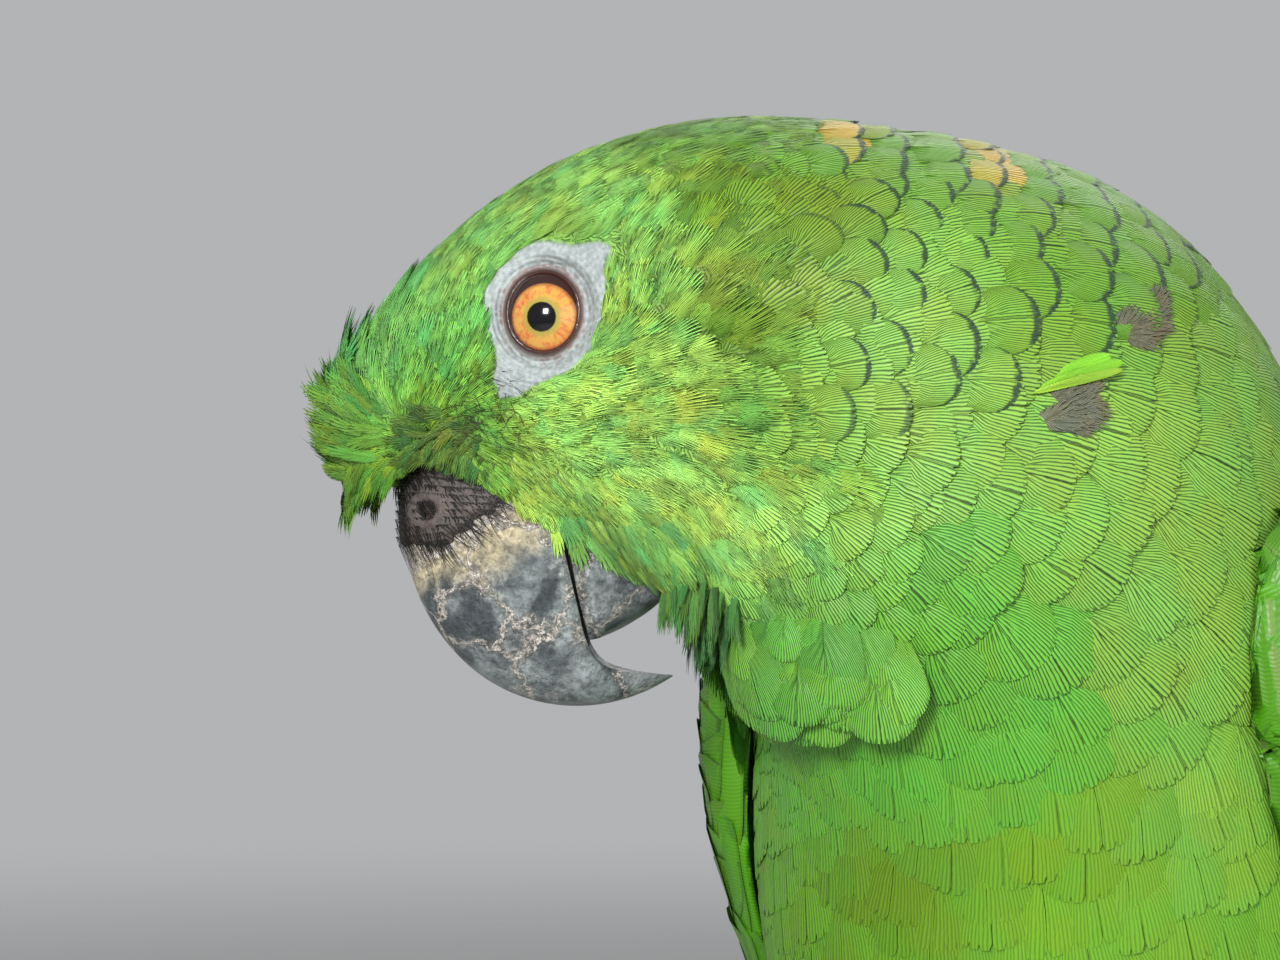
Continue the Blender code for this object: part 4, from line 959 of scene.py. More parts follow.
def feathers(name, surface, unwrap, plan, u, v, lie, length, half, colour, depth, stand=0.0, lift=0.0,
             camber=0.22, fringe=0.0, down=0.8, firm=0.8, droop=0.0, barb_width=BARB_WIDTH, curl=0.0,
             hang=0.0, material=feather, slot="body_feathers", replaces=(), rise_power=2.2):
    """Joined feathers rooted at (u, v) of a surface. Each vertex goes along the surface from the
    root by the feather's plan, turned to the lie, and off it by the feather's height, which is
    -depth (1 - y)^rise_power + (stand - droop y) length y - camber half x^2 + lift. By the share
    `hang` it goes straight on along the lie instead of following the surface."""
    def each(value):
        """One value for each feather, as a column."""
        return np.broadcast_to(np.asarray(value, float), (len(u),))[:, None]

    layout, quads = plan
    barb_number, out, x, y = layout.T
    u, v = np.asarray(u, float), np.asarray(v, float)
    length, half, depth, stand, lift, camber, curl, droop, barb_width, fringe, down, firm = map(
        each, (length, half, depth, stand, lift, camber, curl, droop, barb_width, fringe, down, firm))
    over_u, over_v = slopes(surface, u, v)
    normal = unit(np.cross(over_u, over_v))
    along = unit(lie - (lie * normal).sum(-1, keepdims=True) * normal)
    aside = np.cross(normal, along)
    forward = y * length
    sideways = x * half + curl * y ** 2 * length
    e, f, g = (over_u * over_u).sum(-1), (over_u * over_v).sum(-1), (over_v * over_v).sum(-1)
    area = np.maximum(e * g - f * f, 1e-6)

    def held(direction, distance):
        """The steps along u and v that go a unit of length in a direction, cut or stretched until
        they cover the distance in space."""
        a, b = (direction * over_u).sum(-1), (direction * over_v).sum(-1)
        step_u, step_v = (a * g - b * f) / area, (b * e - a * f) / area
        start, distance = surface(u, v), distance[:, 0]
        for _ in range(3):
            gone = np.linalg.norm(surface(u + step_u * distance, v + step_v * distance) - start, axis=-1)
            change = np.clip(distance / np.maximum(gone, 1e-3), 0.5, 1.6)
            step_u, step_v = step_u * change, step_v * change
        return step_u[:, None], step_v[:, None]

    (along_u, along_v), (aside_u, aside_v) = held(along, length), held(aside, half)
    at_u = u[:, None] + along_u * forward + aside_u * sideways
    at_v = v[:, None] + along_v * forward + aside_v * sideways
    height = (-depth * np.clip(1 - y, 0, 1) ** rise_power + (stand - droop * y) * forward
              - camber * half * x ** 2 + lift)
    points = surface(at_u, at_v) + outward(surface, at_u, at_v) * height[..., None]
    if hang:
        free = (surface(u, v)[:, None] + unit(lie)[:, None] * forward[..., None]
                + aside[:, None] * sideways[..., None] + normal[:, None] * height[..., None])
        points = points + (free - points) * hang

    def every(value):
        """A value at every vertex, from one for each feather or one for each place in the plan."""
        return np.broadcast_to(value, points.shape[:2])

    faces = (np.arange(len(u))[:, None, None] * len(layout) + quads).reshape(-1, 4)
    patch = unwrap(u, v)[:, None, :] + PATCH * (np.stack([x * 0.5 + 0.5, y], -1) - 0.5)
    barbs = np.stack([barb_number * (length * 1.15) / barb_width, every(out)], -1)
    tint = np.repeat(np.column_stack([colour, np.ones(len(u))]), len(layout), axis=0)
    return piece(name, points.reshape(-1, 3), faces, material,
                 maps={"OFBake": patch.reshape(-1, 2), "barbs": barbs.reshape(-1, 2),
                       "vane": np.stack([every(x), every(y)], -1).reshape(-1, 2)},
                 colours={"tint": tint}, values={"fringe": every(fringe).ravel(), "down": every(down).ravel(),
                                                 "firm": every(firm).ravel()},
                 slot=slot, replaces=replaces)


def body_unwrap(along, round_):
    return np.stack([(round_ / WHOLE_TURN) % 1, np.clip(along, 0, STATIONS - 0.1) / STATIONS], -1)


EVEN_ROOT = 1.2207440846057596    # of x^4 = x + 1; steps by its inverse powers fill a cube evenly


def spread_evenly(count, low, high, wanted):
    """Places in a box of parameters, from a sequence that fills it evenly; `wanted` gives the
    share to keep, by a third part of the same sequence."""
    pace = np.array([1 / EVEN_ROOT, 1 / EVEN_ROOT ** 2, 1 / EVEN_ROOT ** 3])
    steps = (np.arange(count)[:, None] * pace + 0.5) % 1
    u = low[0] + steps[:, 0] * (high[0] - low[0])
    v = low[1] + steps[:, 1] * (high[1] - low[1])
    keep = steps[:, 2] < wanted(u, v)
    return u[keep], v[keep]


def area_of(surface, u, v):
    over_u, over_v = slopes(surface, u, v)
    return np.linalg.norm(np.cross(over_u, over_v), axis=-1)


def varied(count, amount):
    return CHANCE.normal(0, 1, count).clip(-2, 2) * amount


def shaded(colour, amount):
    """Colours lighter or darker, and yellower or bluer, from feather to feather."""
    count = len(colour)
    light = 1 + varied(count, amount)[:, None]
    warm = varied(count, amount)[:, None] * np.array([1.0, 0.15, -0.6])
    return np.clip(colour * light * (1 + warm), 0, 1)


def tones(count, colour, amount):
    """A colour for each of so many feathers, all near the given one."""
    return shaded(np.tile(linear(*colour), (count, 1)), amount)


HEAD_FROM, HEAD_TO = -0.1, 7.3
SPACING = 0.152                # between feathers on the head, as a share of their length
HEAD_TRIES = 52000
HEAD_BOX = (HEAD_TO - HEAD_FROM) * WHOLE_TURN
PIECE_MOST = 1500              # feathers
OFF_SIDE = 0.3                 # cosine of the angle round the head beyond which the ring isn't met


def on_nape(behind, above):
    """Share of the scalloped, dark-edged plumage of the nape and hind neck at a place."""
    return smooth(above, -20, -8) * smooth(behind, 26, 33) * (1 - smooth(behind - above * 1.18, 60, 67))


def head_wanted(along, round_):
    """Share of the tried places to keep: one feather to each square of their spacing."""
    _, length, _, behind, above = coat(along, round_)
    blend = 1 - smooth(along, 6.3, HEAD_TO)
    blend = blend * (1 - smooth(along, 5.8, 6.3) * smooth(on_nape(behind + 6.0, above), 0.1, 0.5))
    return blend * area_of(plumage, along, round_) / (SPACING * length) ** 2 * HEAD_BOX / HEAD_TRIES


def fitted(along, round_, lie, length, behind, above, over_bill=0.3, over_bare=-0.3, least=0.3):
    """Lengths cut down until each feather stays off the ring round the eye and off the bill, and
    which feathers then fit."""
    on_side, off_face = np.abs(np.cos(round_)) > OFF_SIDE, along > 4
    run_b, run_z = lie @ BEHIND, lie @ UP
    rooted = ((on_bill(behind, above) < -0.25) | off_face) & ~(on_side & (bareness(behind, above) < 0.15))
    best = np.zeros(len(along))
    for cut in np.linspace(least, 1, 7):
        tip_on_bill = on_bill(behind + run_b * length * cut, above + run_z * length * cut)
        clear = rooted & ((tip_on_bill < over_bill) | off_face)
        for share in (0.45, 0.9):
            reach = share * cut * length
            off_ring = bareness(behind + run_b * reach, above + run_z * reach)
            clear &= ~(on_side & (off_ring < over_bare * share))
        best = np.where(clear, cut * length, best)
    return best, best > 0


def ruffled(lie, along, round_, amount, more=0.0):
    """Directions turned a little about the plumage's normal, each by its own chance."""
    turn = (varied(len(along), amount) + more)[:, None]
    return unit(lie * np.cos(turn) + np.cross(outward(plumage, along, round_), lie) * np.sin(turn))


def lay(name, plan, along, round_, lie, length, width, colour, depth, slot, **more):
    """Feathers on the plumage, in as many pieces as keep each one small; their half width is a
    share of their length."""
    for number, some in enumerate(np.array_split(np.arange(len(along)), -(-len(along) // PIECE_MOST))):
        mine = {key: value[some] if np.ndim(value) else value for key, value in more.items()}
        feathers(f"{name}_{number + 1}", plumage, body_unwrap, plan, along[some], round_[some], lie[some],
                 length[some], (width * length)[some], colour[some], depth[some], slot=slot, **mine)


TUFT = vane(7, 2, 0.34, widest=0.70, spread=108.0, sweep=0.46, bend=1.5)
SPIKY = vane(4, 3, 0.66, widest=0.52, spread=112.0, sweep=0.30, bend=1.9)
FILLER = vane(4, 2, 0.25, widest=0.62, sweep=0.3)


def chosen(keep, *arrays):
    return tuple(values[keep] for values in arrays)


def waves(behind, above, grain):
    """A slow wander over the head, -1 to 1, that gathers feathers into tufts."""
    return (np.sin(grain * (behind + 0.6 * above) + 1.3 * np.sin(grain * 0.7 * above))
            + np.sin(grain * 1.3 * (above - 0.5 * behind) + 2.0)) / 2


along, round_ = spread_evenly(HEAD_TRIES, (HEAD_FROM, 0.0), (HEAD_TO, WHOLE_TURN), head_wanted)
lie, length, colour, behind, above = coat(along, round_)
under_lie = ruffled(lie, along, round_, 0.9)
short, fits = fitted(along, round_, under_lie, length * 0.6, behind, above, -0.6, 0.2)
low = chosen(fits, along, round_, under_lie, short, colour)
# A lower layer of short feathers, turned every way, fills the gaps. Its colour is 0.72 of the coat's, as painted
# shade under the coat above it.
lay("coat_head_under", FILLER, *low[:4], 0.46, low[4] * 0.72, coat_depth(low[0], low[1]) * 0.8,
    "face_feathers", lift=-0.32, down=0.0, rise_power=5.0, barb_width=0.7)
gathered = ruffled(lie, along, round_, 0.07, 0.14 * waves(behind, above, 0.8))
length, fits = fitted(along, round_, gathered, length * (1 + varied(len(along), 0.10)), behind, above)
along, round_, gathered, length, colour, behind, above = chosen(
    fits, along, round_, gathered, length, colour, behind, above)
on_ear = np.exp(-(((behind - 19) / 10) ** 2 + ((above - 4) / 8.5) ** 2) ** 2)
stand = 0.10 * smooth(-behind, 14, 22) * smooth(waves(behind, above, 1.1), -0.2, 0.7)
colour = shaded(colour * (1.14 + 0.10 * on_ear)[:, None], 0.15)
lay("coat_head", TUFT, along, round_, gathered, length * 1.08, 0.20, colour, coat_depth(along, round_) * 0.8,
    "face_feathers", lift=varied(len(along), 0.14), camber=0.10, stand=stand, down=0.15, rise_power=4.2,
    barb_width=0.58 + 0.10 * on_ear, firm=1.3 + 0.9 * on_ear)

# Tufts that stand out: middle behind and above the eye, and half breadths; lie; length; half
# width as a share of it; how far they stand, and droop; spacing; how far over the bill; how straight
# they hang; colour; plan.
TUFTS_TO, TUFT_TRIES = 9.4, 80000
TUFT_BOX = (TUFTS_TO - HEAD_FROM) * WHOLE_TURN
FAN = vane(20, 3, -0.10, widest=0.70, spread=126.0, sweep=0.30, bend=1.5, point=0.5, edge=2.0)
TUFTS = (
    ("forehead", (-25.0, -11.0), (5.5, 6.5), 130, 7.6, 0.16, 0.26, 0.0, 0.14, 0.3, 0.1, (104, 190, 96), SPIKY),
    ("front", (-22.0, -15.0), (6.0, 7.0), 166, 6.2, 0.12, 0.44, 0.0, 0.135, 9.0, 0.3, (122, 174, 62), SPIKY),
    ("front_low", (-19.5, -20.0), (7.0, 5.0), 244, 6.0, 0.11, 0.34, 0.30, 0.105, 14.0, 0.5, (124, 166, 46), SPIKY),
    ("lores", (-10.5, -15.5), (6.5, 4.4), 190, 3.2, 0.14, 0.30, 0.0, 0.20, 1.0, 0.0, (78, 100, 44), SPIKY),
    ("cheek", (6.0, -26.5), (13.0, 5.0), -68, 6.4, 0.14, 0.06, 0.0, 0.15, 2.6, 0.2, (150, 212, 112), SPIKY),
    ("chin", (17.6, -33.5), (5.0, 4.5), -97, 5.6, 0.10, 0.14, 0.0, 0.18, 9.0, 0.9, (50, 120, 58), SPIKY),
    ("ruff", (30.0, -34.6), (12.0, 4.6), -99, 11.0, 0.37, 0.22, 0.06, 0.15, 6.0, 0.45, (100, 160, 60), FAN),
)
for (word, (mid_b, mid_z), (wide_b, wide_z), turn, long, half, stand, droop, spacing, over, hang, tone,
     plan) in TUFTS:
    along, round_ = spread_evenly(
        TUFT_TRIES, (HEAD_FROM, 0.0), (TUFTS_TO, WHOLE_TURN),
        lambda u, v: area_of(plumage, u, v) / (spacing * long) ** 2 * TUFT_BOX / TUFT_TRIES)
    lie, _, colour, behind, above = coat(along, round_)
    near = 1 - smooth(np.hypot((behind - mid_b) / wide_b, (above - mid_z) / wide_z), 0.55, 1.0)
    own = math.cos(math.radians(turn)) * BEHIND + math.sin(math.radians(turn)) * UP
    lie = ruffled(unit(lie * 0.35 + own * 0.65), along, round_, 0.10, 0.42 * waves(behind, above, 1.7))
    length = long * (1 + varied(len(along), 0.16))
    length, fits = fitted(along, round_, lie, length, behind, above, over, 0.0, 0.5)
    fits &= near > CHANCE.random(len(along)) * 0.8
    along, round_, lie, length, colour, near, behind, above = chosen(
        fits, along, round_, lie, length, colour, near, behind, above)
    up_by = stand * near * (0.25 + 0.75 * smooth(waves(behind, above, 1.7), -0.5, 0.6))
    colour = shaded(colour * 0.25 + linear(*tone) * 0.75, 0.08 if plan is FAN else 0.22)
    lay(f"tuft_{word}", plan, along, round_, lie, length, half, colour, coat_depth(along, round_) * 0.6,
        "face_feathers", lift=0.1 + varied(len(along), 0.12), camber=0.12, stand=up_by, droop=droop,
        hang=hang, down=0.0, rise_power=3.0, barb_width=0.55)


# ---------------------------------------------------------------- bristles
# Stiff dark bristles, thin as hairs, grow out of the cere and lie down over the horn. A few more
# stand on the bare lores and over the corner of the ring.

def bristle(rows=6, taper=0.9):
    """The plan of a narrow blade that tapers evenly, as a grid."""
    y, x = np.meshgrid(np.linspace(0, 1, rows), (-1.0, 1.0), indexing='ij')
    return np.stack([y, np.abs(x), x * (1 - taper * y), y], -1).reshape(-1, 4), grid_faces(rows, 2)


def cere_surface(row, turn):
    """The cere's outside: place along the jaw, and turn over its arch from the left edge."""
    angle, edge_f, edge_d, half = np.moveaxis(through(UPPER_JAW, row), -1, 0)
    ridge_f, ridge_d = ridge(angle, outside=CERE_SWELL + 0.45)
    across, up = jaw_arch(turn)
    return on_bowed_head((half + 1.15) * across, edge_f + (ridge_f - edge_f) * up,
                         edge_d + (ridge_d - edge_d) * up)


row, turn = spread_evenly(5200, (0.6, 0.25), (5.4, math.pi - 0.25), lambda u, v: np.full(len(u), 0.9))
behind, above, _ = from_eye(cere_surface(row, turn))
root_ahead, root_above = bowed(-behind, above)
row, turn, root_ahead = chosen(above_seam(root_ahead, root_above) > 0.5, row, turn, root_ahead)
lean = varied(len(row), 0.35) + 0.9 - 0.07 * (root_ahead - 20)
flow = np.sin(lean)[:, None] * BEHIND - np.cos(lean)[:, None] * UP
long = 4.0 * (1 + varied(len(row), 0.25))
black = tones(len(row), (22, 19, 18), 0.3)
feathers("bristles_cere", cere_surface,
         lambda u, v: np.stack([0.45 + 0.1 * v / math.pi, 0.02 + 0.01 * u], -1), bristle(), row, turn, flow,
         long, 0.075, black, 0.1, stand=0.16 + np.abs(varied(len(row), 0.12)), down=0.0, firm=0.0, camber=0.0,
         curl=varied(len(row), 0.14), slot="cere")
along, round_ = spread_evenly(9000, (HEAD_FROM, 0.0), (HEAD_TO, WHOLE_TURN), lambda u, v: np.ones(len(u)))
lie, _, _, behind, above = coat(along, round_)
near = np.hypot((behind + 6.2) / 5.5, (above + 11.0) / 4.2) < 1
along, round_, lie = chosen(near & (CHANCE.random(len(along)) < 0.8), along, round_, lie)
lie = ruffled(unit(lie - 0.7 * UP), along, round_, 0.7)
lay("bristles_lores", bristle(), along, round_, lie, 2.6 * (1 + varied(len(along), 0.25)), 0.018,
    np.tile(linear(52, 44, 30), (len(along), 1)), np.full(len(along), 0.3), "face_feathers", stand=0.22,
    lift=0.12, down=0.0, firm=0.0, camber=0.0, curl=varied(len(along), 0.15))


# ---------------------------------------------------------------- nape, neck, breast, belly and back
# Rows of broader feathers from the nape to the tail coverts, rooted in the skin, each row over the
# one behind it. Those of the nape and hind neck have dark edges, and two of them are yellow.

def feather_rows(start, end, exposed, breadth):
    """Roots in staggered rows: each row is `exposed` of a feather's length behind the last one,
    with feathers `breadth` of their half width apart."""
    alongs, rounds, at, odd = [], [], start, 0.0
    steps = 72
    angles = around(steps)
    while at < end:
        _, length, *_ = coat(np.full(steps, at), angles)
        over_a, over_r = slopes(plumage, np.full(steps, at), angles)
        crowd = np.linalg.norm(over_r, axis=-1) / (breadth * length)
        total = np.concatenate([[0], np.cumsum(crowd) * (WHOLE_TURN / steps)])
        number = int(round(total[-1]))
        places = np.interp((np.arange(number) + odd) * total[-1] / number, total, [*angles, WHOLE_TURN])
        alongs.append(np.full(number, at))
        rounds.append(places)
        odd = 0.5 - odd
        at += exposed * length.mean() / np.linalg.norm(over_a, axis=-1).mean()
    along, round_ = np.concatenate(alongs), np.concatenate(rounds)
    return along + varied(len(along), 0.03), round_ + varied(len(along), 0.012)


VANE = vane(15, 3, -0.10, widest=0.64, sweep=0.38, bend=1.6, point=0.55, edge=2.4)
SCALE = vane(14, 3, -0.10, widest=0.72, spread=128.0, sweep=0.42, bend=1.8, point=0.55, edge=2.4)
YELLOW_FEATHERS, YELLOW_RADIUS = ((50.2, 18.1), (33.8, 21.1)), 3.2    # behind and above the eye
LOWER_BREAST = (36, 58)        # below the eye, where the feathers grow smoother
for name, plan, (along, round_), width, on_it in (
        ("coat_body", VANE, feather_rows(5.9, 19.4, 0.24, 0.36), 0.38, False),
        ("coat_nape", SCALE, feather_rows(6.0, 9.8, 0.36, 0.50), 0.34, True)):
    lie, length, colour, behind, above = coat(along, round_)
    tip_behind, tip_above = behind + lie @ BEHIND * length * 0.6, above + lie @ UP * length * 0.6
    out_left = from_eye(plumage(along, round_))[2]
    share = on_nape(tip_behind, tip_above)
    for yellow_b, yellow_z in YELLOW_FEATHERS:
        off_it = np.hypot(tip_behind - yellow_b, tip_above - yellow_z)
        yellow = (np.exp(-(off_it / YELLOW_RADIUS) ** 4) * smooth(out_left, 2, 6))[:, None]
        colour = colour * (1 - yellow) + linear(196, 164, 54) * yellow
    along, round_, lie, length, colour, share, tip_above = chosen(
        share > (0.4 if on_it else -1), along, round_, lie, length, colour, share, tip_above)
    length = length * (1 + varied(len(along), 0.05))
    smoother = 0.5 * smooth(-tip_above, *LOWER_BREAST)
    lay(name, plan, along, round_, ruffled(lie, along, round_, 0.06), length, width, shaded(colour, 0.035),
        coat_depth(along, round_) * 0.9, "body_feathers", camber=0.10,
        lift=varied(len(along), 0.12) * (1 - smoother) + 0.3 * on_it, fringe=share * on_it,
        rise_power=3.6 if on_it else 3.0, firm=0.9 - smoother, barb_width=0.52)


# Where the hind neck's feathers part from those of the neck's side, grey down shows, and a bright
# feather, made of three that overlap, stands out with its edge up.
DOWN_PATCHES = ((65.6, -2.2, 3.0, 0.9), (56.4, -11.9, 3.0, 1.1))    # middle, half length and half breadth
PATCH_FEATHERS, PATCH_SLANT = 34, (0.86, 0.5)
place_b, place_z = [], []
for mid_b, mid_z, long, broad in DOWN_PATCHES:
    spin, reach = CHANCE.uniform(0, WHOLE_TURN, PATCH_FEATHERS), np.sqrt(CHANCE.uniform(0, 1, PATCH_FEATHERS))
    way, over = long * reach * np.cos(spin), broad * reach * np.sin(spin)
    place_b.append(mid_b + PATCH_SLANT[0] * way - PATCH_SLANT[1] * over)
    place_z.append(mid_z + PATCH_SLANT[1] * way + PATCH_SLANT[0] * over)
along, round_ = on_head(np.concatenate(place_b), np.concatenate(place_z))
grey = tones(len(along), (120, 118, 104), 0.06)
lie = ruffled(coat(along, round_)[0], along, round_, 0.3, 0.25)
lay("coat_parting", SPIKY, along, round_, lie, np.full(len(along), 5.0), 0.22, grey, np.full(len(along), 1.5),
    "nape_feathers", lift=0.35 + varied(len(along), 0.1), camber=0.1, down=0.0, firm=0.9, stand=0.02)
along, round_ = on_head(np.array([53.6, 54.4, 55.6]), np.array([-10.2, -9.7, -8.8]))
lie = ruffled(coat(along, round_)[0], along, round_, 0.0, np.array([0.42, 0.47, 0.52]))
bright = np.array([linear(196, 252, 90), linear(150, 226, 66), linear(140, 216, 60)])
lay("coat_bright", VANE, along, round_, lie, np.array([11.0, 10.5, 8.0]), np.array([0.045, 0.075, 0.13]),
    bright, np.ones(3), "nape_feathers", lift=np.array([0.95, 0.8, 0.65]), camber=0.5, down=0.0, firm=0.3,
    stand=0.03)


# ---------------------------------------------------------------- wings
# Folded wings: rows of coverts over the arm, then the secondaries and the primaries, each a long
# quill. They lie on the same line as the solids, from the bend to the tips over the tail.

WING_EDGES = np.array([        # along, lower and upper edge across the section, thickness
    (9.66, -0.02, 0.16, 1.0), (9.8, -0.19, 0.36, 6.0), (10.05, -0.30, 0.50, 8.2), (10.5, -0.36, 0.64, 8.6),
    (11.0, -0.36, 0.76, 8.0), (12.0, -0.28, 0.90, 7.0), (13.0, -0.18, 0.955, 6.2), (14.0, -0.04, 0.97, 5.6),
    (15.0, 0.14, 0.97, 5.0), (16.0, 0.34, 0.97, 4.3), (17.0, 0.50, 0.96, 3.6), (18.0, 0.56, 0.94, 3.0),
    (19.0, 0.62, 0.92, 2.4), (20.0, 0.74, 0.88, 1.6),
])
WING_CLEARANCE, WING_BREADTH = 0.7, 26.0
WING_FROM, CORE_END = 9.66, 13.0    # along the body
FLAT = 0.01                    # share of the wing's thickness that the underside keeps


def wing(side, drop=0.0, deep=1.0):
    """A surface over the folded wing: place along the body, and share of the wing's breadth from
    its lower edge. It stands off the plumage by the wing's thickness under a rounded crown."""
    def surface(along, share):
        beyond = share - np.clip(share, 0.0, 1.0)
        share = share - 0.7 * beyond + 0 * along
        low, high, full = (np.interp(along, WING_EDGES[:, 0], WING_EDGES[:, k]) for k in (1, 2, 3))
        angle = np.arcsin(low) * (1 - share) + np.arcsin(high) * share
        angle = angle if side > 0 else math.pi - angle
        crown = 0.30 + 0.70 * np.sin(math.pi * np.clip(share, 1e-4, 1 - 1e-4) ** 0.75) ** 0.6
        thick = np.maximum((full - drop) * crown * deep, 0.6)
        height = WING_CLEARANCE + thick - WING_BREADTH * np.abs(beyond)
        return plumage(along, angle) + outward(plumage, along, angle) * height[..., None]
    return surface


def wing_front(side):
    """A surface round the wing's front edge: place along the body, and turn about the edge from
    -1 underneath, through 0 in front, to 1 on top, as half of an oval."""
    top, low_side = wing(side), wing(side, deep=FLAT)

    def surface(along, turn):
        bend = np.clip(turn, -1.2, 1.2) * math.pi / 2
        share = 0.13 * (1 - np.cos(bend)) + 0 * along
        high = (0.5 + 0.5 * np.sin(bend))[..., None]
        ahead = top(along, share) - top(along, share + 0.05)
        return (top(along, share) * high + low_side(along, share) * (1 - high)
                + unit(ahead) * (2.4 * np.cos(bend))[..., None])
    return surface


def quill(rows, columns, tip=0.16, root=0.10, slant=0.10):
    """The plan of a long vane: parallel edges, a rounded tip and a narrowing root, as a grid."""
    y, x = np.meshgrid(np.linspace(0, 1, rows) ** 0.9, np.linspace(-1, 1, columns), indexing='ij')
    rounding = np.sqrt(np.clip(1 - (np.clip(y - (1 - tip), 0, None) / tip) ** 2, 0.004, 1))
    width = rounding * (0.25 + 0.75 * smooth(y, 0, root))
    bent = y - slant * 0.4 * x ** 2 * (y > 0.5) * smooth(y, 0.5, 1.0)
    layout = np.stack([bent - slant * np.abs(x), np.abs(x), x * width, bent], -1).reshape(-1, 4)
    return layout, grid_faces(rows, columns)


def wing_unwrap(side):
    def place(along, share):
        return np.stack([0.25 - side * 0.12 + 0.1 * share, np.clip(along, 0, STATIONS - 0.1) / STATIONS], -1)
    return place


flight, place, dress = finish("flight_feather", roughness=0.45, Specular_IOR_Level=0.4)
tint = place.attribute("tint")
fringe = place.attribute("fringe", "Fac")
pale_tip = place.attribute("down", "Fac")    # these quills show no down, and it gives the tip's share
barb, off_shaft = place.map("barbs")
_, way = place.map("vane")
flecks = place.noise(place, 0.8, 4.0)
groove = (barb + flecks * 0.5).wave()
# Between the barbs the colour darkens a little, to (224, 228, 212): painted shade in the gaps between them.
vaned = tint.tinted(place.paint(255, 255, 255).over(place.paint(224, 228, 212), groove), 0.8)
vaned = place.paint(158, 178, 62).over(vaned, (way + flecks * 0.2).rise(0.76, 0.98) * pale_tip)
edge = place.paint(30, 48, 24).over(vaned, (off_shaft + flecks * 0.1).rise(0.86, 1.02) * fringe)
quilled = place.paint(112, 124, 70).over(edge, off_shaft.rise(0.07, 0.02) * 0.6)
dress(Base_Color=quilled, Roughness=groove * -0.12 + 0.52,
      Normal=place.bump(groove * 0.25 + off_shaft.rise(0.14, 0.0) * 1.5, 0.10))

COVERT = quill(9, 7, tip=0.46, root=0.14, slant=0.12)
LONG = quill(16, 9)
BROAD = quill(12, 9, tip=0.42, root=0.14, slant=0.02)
EDGE_ROWS, EDGE_END = 6, 12.6
EDGE_TURNS, EDGE_ON_TOP = (1.05, 0.5, -0.85, -0.2), (0.0, 0.3, 0.2, 1.0)    # place and rank of each in a row
COVERT_ROWS = (                # along the body from, to; rows; length; half width; feathers across
    (9.60, 10.9, 8, 11.5, 3.9, 10), (11.05, 11.5, 2, 18.0, 5.2, 10), (11.8, 12.25, 2, 25.0, 6.0, 11),
)
QUILLS = (                     # places across; root and tip along the body, each with its change across;
    # how far under the wing's top; half width; lifts; colour and its spread; dark edge
    ("secondaries", (0.03, 0.97, 9), (12.2, 0.0), (13.5, 3.0), 0.6, 6.4, (0.0, 0.9), (66, 122, 26), 0.05, 0.5),
    ("primaries", (0.06, 0.9, 7), (12.6, 2.0), (20.0, -3.0), 1.2, 5.6, (-0.3, 0.6), (44, 84, 40), 0.06, 0.8),
)
PLAIN_VANES = {"down": 0.0, "material": flight, "barb_width": 0.6}
for word, side in SIDES:
    top = wing(side)
    a_grid, s_grid = np.meshgrid(np.linspace(WING_FROM, CORE_END, 40), np.linspace(0, 1, 24), indexing='ij')
    over, under = wing(side, deep=0.62)(a_grid, s_grid), wing(side, deep=FLAT)(a_grid, s_grid)
    cloud, faces = closed_tube(np.concatenate([over, under[:, ::-1]], axis=1))
    count = len(cloud)
    piece(f"wing_core_{word}", cloud, [f if side < 0 else f[:, ::-1] for f in faces], skin,
          maps={"OFBake": np.full((count, 2), 0.4) + 0.1 * np.linspace(0, 1, count)[:, None],
                "ring": np.full((count, 2), OFF_EYE)},
          colours={"tint": np.tile((*linear(60, 104, 26), 1), (count, 1))},
          values={"bare": np.zeros(count), "from_lid": np.full(count, OFF_EYE)},
          slot="body_feathers", replaces=(f"wing_{word}_coverts",))

    roots = []
    for first, last, rows, long, half, number in COVERT_ROWS:
        for row, at in enumerate(np.linspace(first, last, rows)):
            share = (np.arange(number + 1) + 0.5 * (row % 2)) / number
            roots += [(at, one, long, half) for one in share[share <= 1.001]]
    along, share, long, half = np.array(roots).T
    along = along + varied(len(along), 0.02)
    green = tones(len(along), (78, 134, 22), 0.06)
    feathers(f"wing_coat_{word}", top, wing_unwrap(side), COVERT, along, share, slopes(top, along, share)[0],
             long * (1 + varied(len(along), 0.04)), half, green, 0.7, lift=0.15 + varied(len(along), 0.06),
             camber=0.06, fringe=0.6, rise_power=3.4, **PLAIN_VANES)

    front = wing_front(side)
    along = np.repeat(np.linspace(WING_FROM, EDGE_END, EDGE_ROWS), len(EDGE_TURNS))
    turn, on_top = np.tile(EDGE_TURNS, EDGE_ROWS), np.tile(EDGE_ON_TOP, EDGE_ROWS)
    green = tones(len(turn), (74, 138, 10), 0.07)
    feathers(f"wing_edge_{word}", front, wing_unwrap(side), BROAD, along, turn, slopes(front, along, turn)[0],
             19.5 + 2.0 * (along - 9.7), 4.3 + 0.5 * on_top, green, 0.35, lift=0.05 + 0.12 * on_top,
             camber=0.05, fringe=0.3, rise_power=2.0, **PLAIN_VANES)

    for row, places, root, end, drop, half, lifts, tone, spread, edge in QUILLS:
        share = np.linspace(*places)
        start, tip = root[0] + root[1] * share, end[0] + end[1] * share
        steps = [np.diff(top(np.linspace(a, b, 12), np.full(12, c)), axis=0)
                 for a, b, c in zip(start, tip, share)]
        long = np.array([np.linalg.norm(step, axis=-1).sum() for step in steps])
        green = tones(len(share), tone, spread)
        feathers(f"wing_{row}_{word}_vanes", wing(side, drop=drop), wing_unwrap(side), LONG, start, share,
                 slopes(top, start, share)[0], long, half, green, 0.9, lift=np.linspace(*lifts, len(share)),
                 camber=0.10, fringe=edge, rise_power=1.2, slot="flight_feathers",
                 replaces=(f"wing_{word}_{row}",), **PLAIN_VANES)


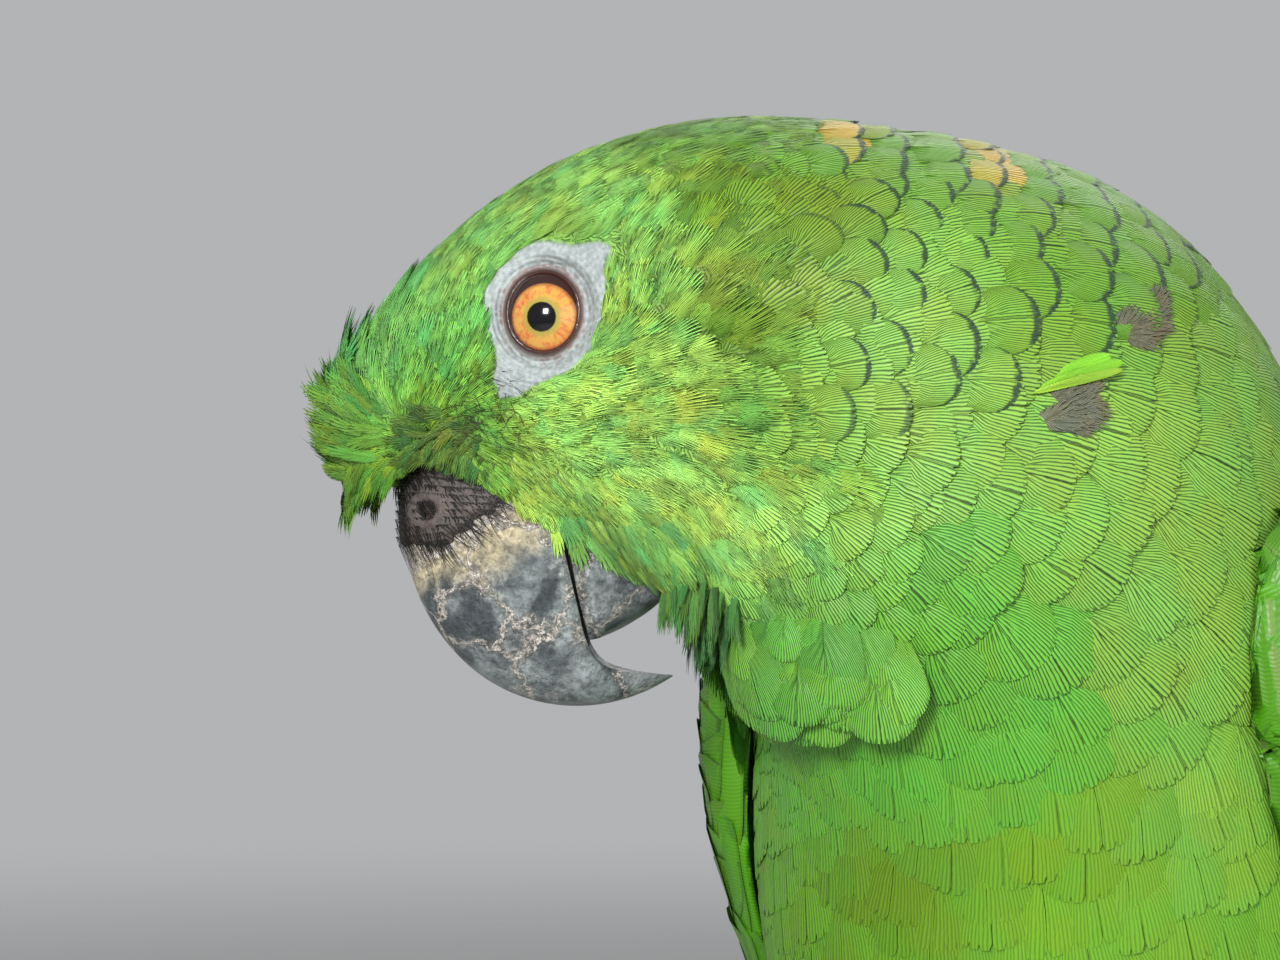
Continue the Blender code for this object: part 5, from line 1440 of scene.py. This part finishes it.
# ---------------------------------------------------------------- tail
# Twelve broad green quills in a closed fan, with yellow-green tips. The middle pair lies on top,
# and each next pair is lower and shorter.

TAIL_LENGTH, TAIL_HEIGHT, TAIL_DROOP = 112.0, 49.5, math.radians(21)
TAIL_HALF_WIDTHS, TAIL_ARCH = (11.0, 24.0), 3.0


def tail_top(way, share):
    """A surface over the tail: way from root to tip, and share across it, under a low arch."""
    at_root, at_tip = TAIL_HALF_WIDTHS
    half = at_root + (at_tip - at_root) * np.clip(way, 0.001, None) ** 0.7
    behind = TAIL_ROOT_BEHIND + TAIL_LENGTH * way * math.cos(TAIL_DROOP)
    height = TAIL_HEIGHT - TAIL_LENGTH * way * math.sin(TAIL_DROOP) - TAIL_ARCH * share ** 2 * (0.4 + 0.6 * way)
    return np.stack([half * share, behind, height], -1) + ORIGIN


TAIL_QUILLS, TAIL_SPREAD = 12, 0.78
rank = np.repeat(np.arange(5.0, -1, -1), 2)    # of a pair, from the outermost to the middle one
share = np.tile([1, -1], 6) * (rank + 0.5) / 6 * TAIL_SPREAD
way_back = np.tile(slopes(tail_top, np.array(0.5), np.array(0.0))[0], (TAIL_QUILLS, 1))
feathers("tail_vanes", tail_top, lambda way, share: np.stack([0.25 + 0.05 * share, 0.9 + 0.08 * way], -1),
         quill(20, 11, tip=0.12, slant=0.07), np.full(TAIL_QUILLS, 0.02), share, way_back,
         TAIL_LENGTH * (0.975 - 0.016 * rank), 7.4, tones(TAIL_QUILLS, (72, 128, 34), 0.04), 0.0,
         lift=0.9 - 0.28 * rank, camber=0.08, fringe=0.5, slot="flight_feathers", replaces=("tail",),
         **{**PLAIN_VANES, "down": 0.9})


# ---------------------------------------------------------------- legs and feet
# Feathered thighs over bare scaly shanks and toes, two toes forward and two back, with dark
# hooked claws.

THIGH_PLAN = vane(9, 2, -0.10, widest=0.64, sweep=0.38, bend=1.6, point=0.55, edge=2.0)
for word, side in SIDES:
    thigh = limb(THIGH, side)
    down, turn = spread_evenly(1500, (0.3, 0.0), (5.9, WHOLE_TURN), lambda u, v: np.full(len(u), 0.7))
    green = tones(len(down), (104, 160, 52), 0.10)
    feathers(f"coat_thigh_{word}", thigh,
             lambda u, v: np.stack([0.5 + 0.2 * side * v / 7, 0.6 + 0.05 * u], -1), THIGH_PLAN, down, turn,
             slopes(thigh, down, turn)[0], 10.0 - 0.6 * down, 2.6, green, 1.6, lift=varied(len(down), 0.15),
             camber=0.12, down=0.3, firm=0.6, rise_power=4.0, barb_width=0.7)

scaly, place, dress = finish("scaly_skin", roughness=0.6)
scales = place.cells(place, 0.75, 'DISTANCE_TO_EDGE')
patches = place.cells(place, 0.75)
dust = place.noise(place, 1.2, 4.0)
hide = place.paint(150, 148, 142).over(place.paint(98, 96, 92), dust.rise(0.3, 0.7))
dress(Base_Color=hide.over(place.paint(58, 54, 50), scales.rise(0.02, 0.14)),
      Roughness=dust * 0.3 + 0.45, Normal=place.bump(scales.rise(0.0, 0.2) + patches * 0.2, 0.3))
claw, place, dress = finish("claw", roughness=0.35, Coat_Weight=0.2, Coat_Roughness=0.3)
wear = place.noise(place, 0.8, 4.0)
dress(Base_Color=place.paint(70, 68, 66).over(place.paint(36, 34, 34), wear.rise(0.35, 0.65)),
      Roughness=wear * 0.3 + 0.25, Normal=place.bump(wear, 0.1))
for name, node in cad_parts.items():
    for kind, look in (("shank", scaly), ("toe", scaly), ("claw", claw)):
        if name.startswith(kind):
            node.data.materials.clear()
            node.data.materials.append(look)
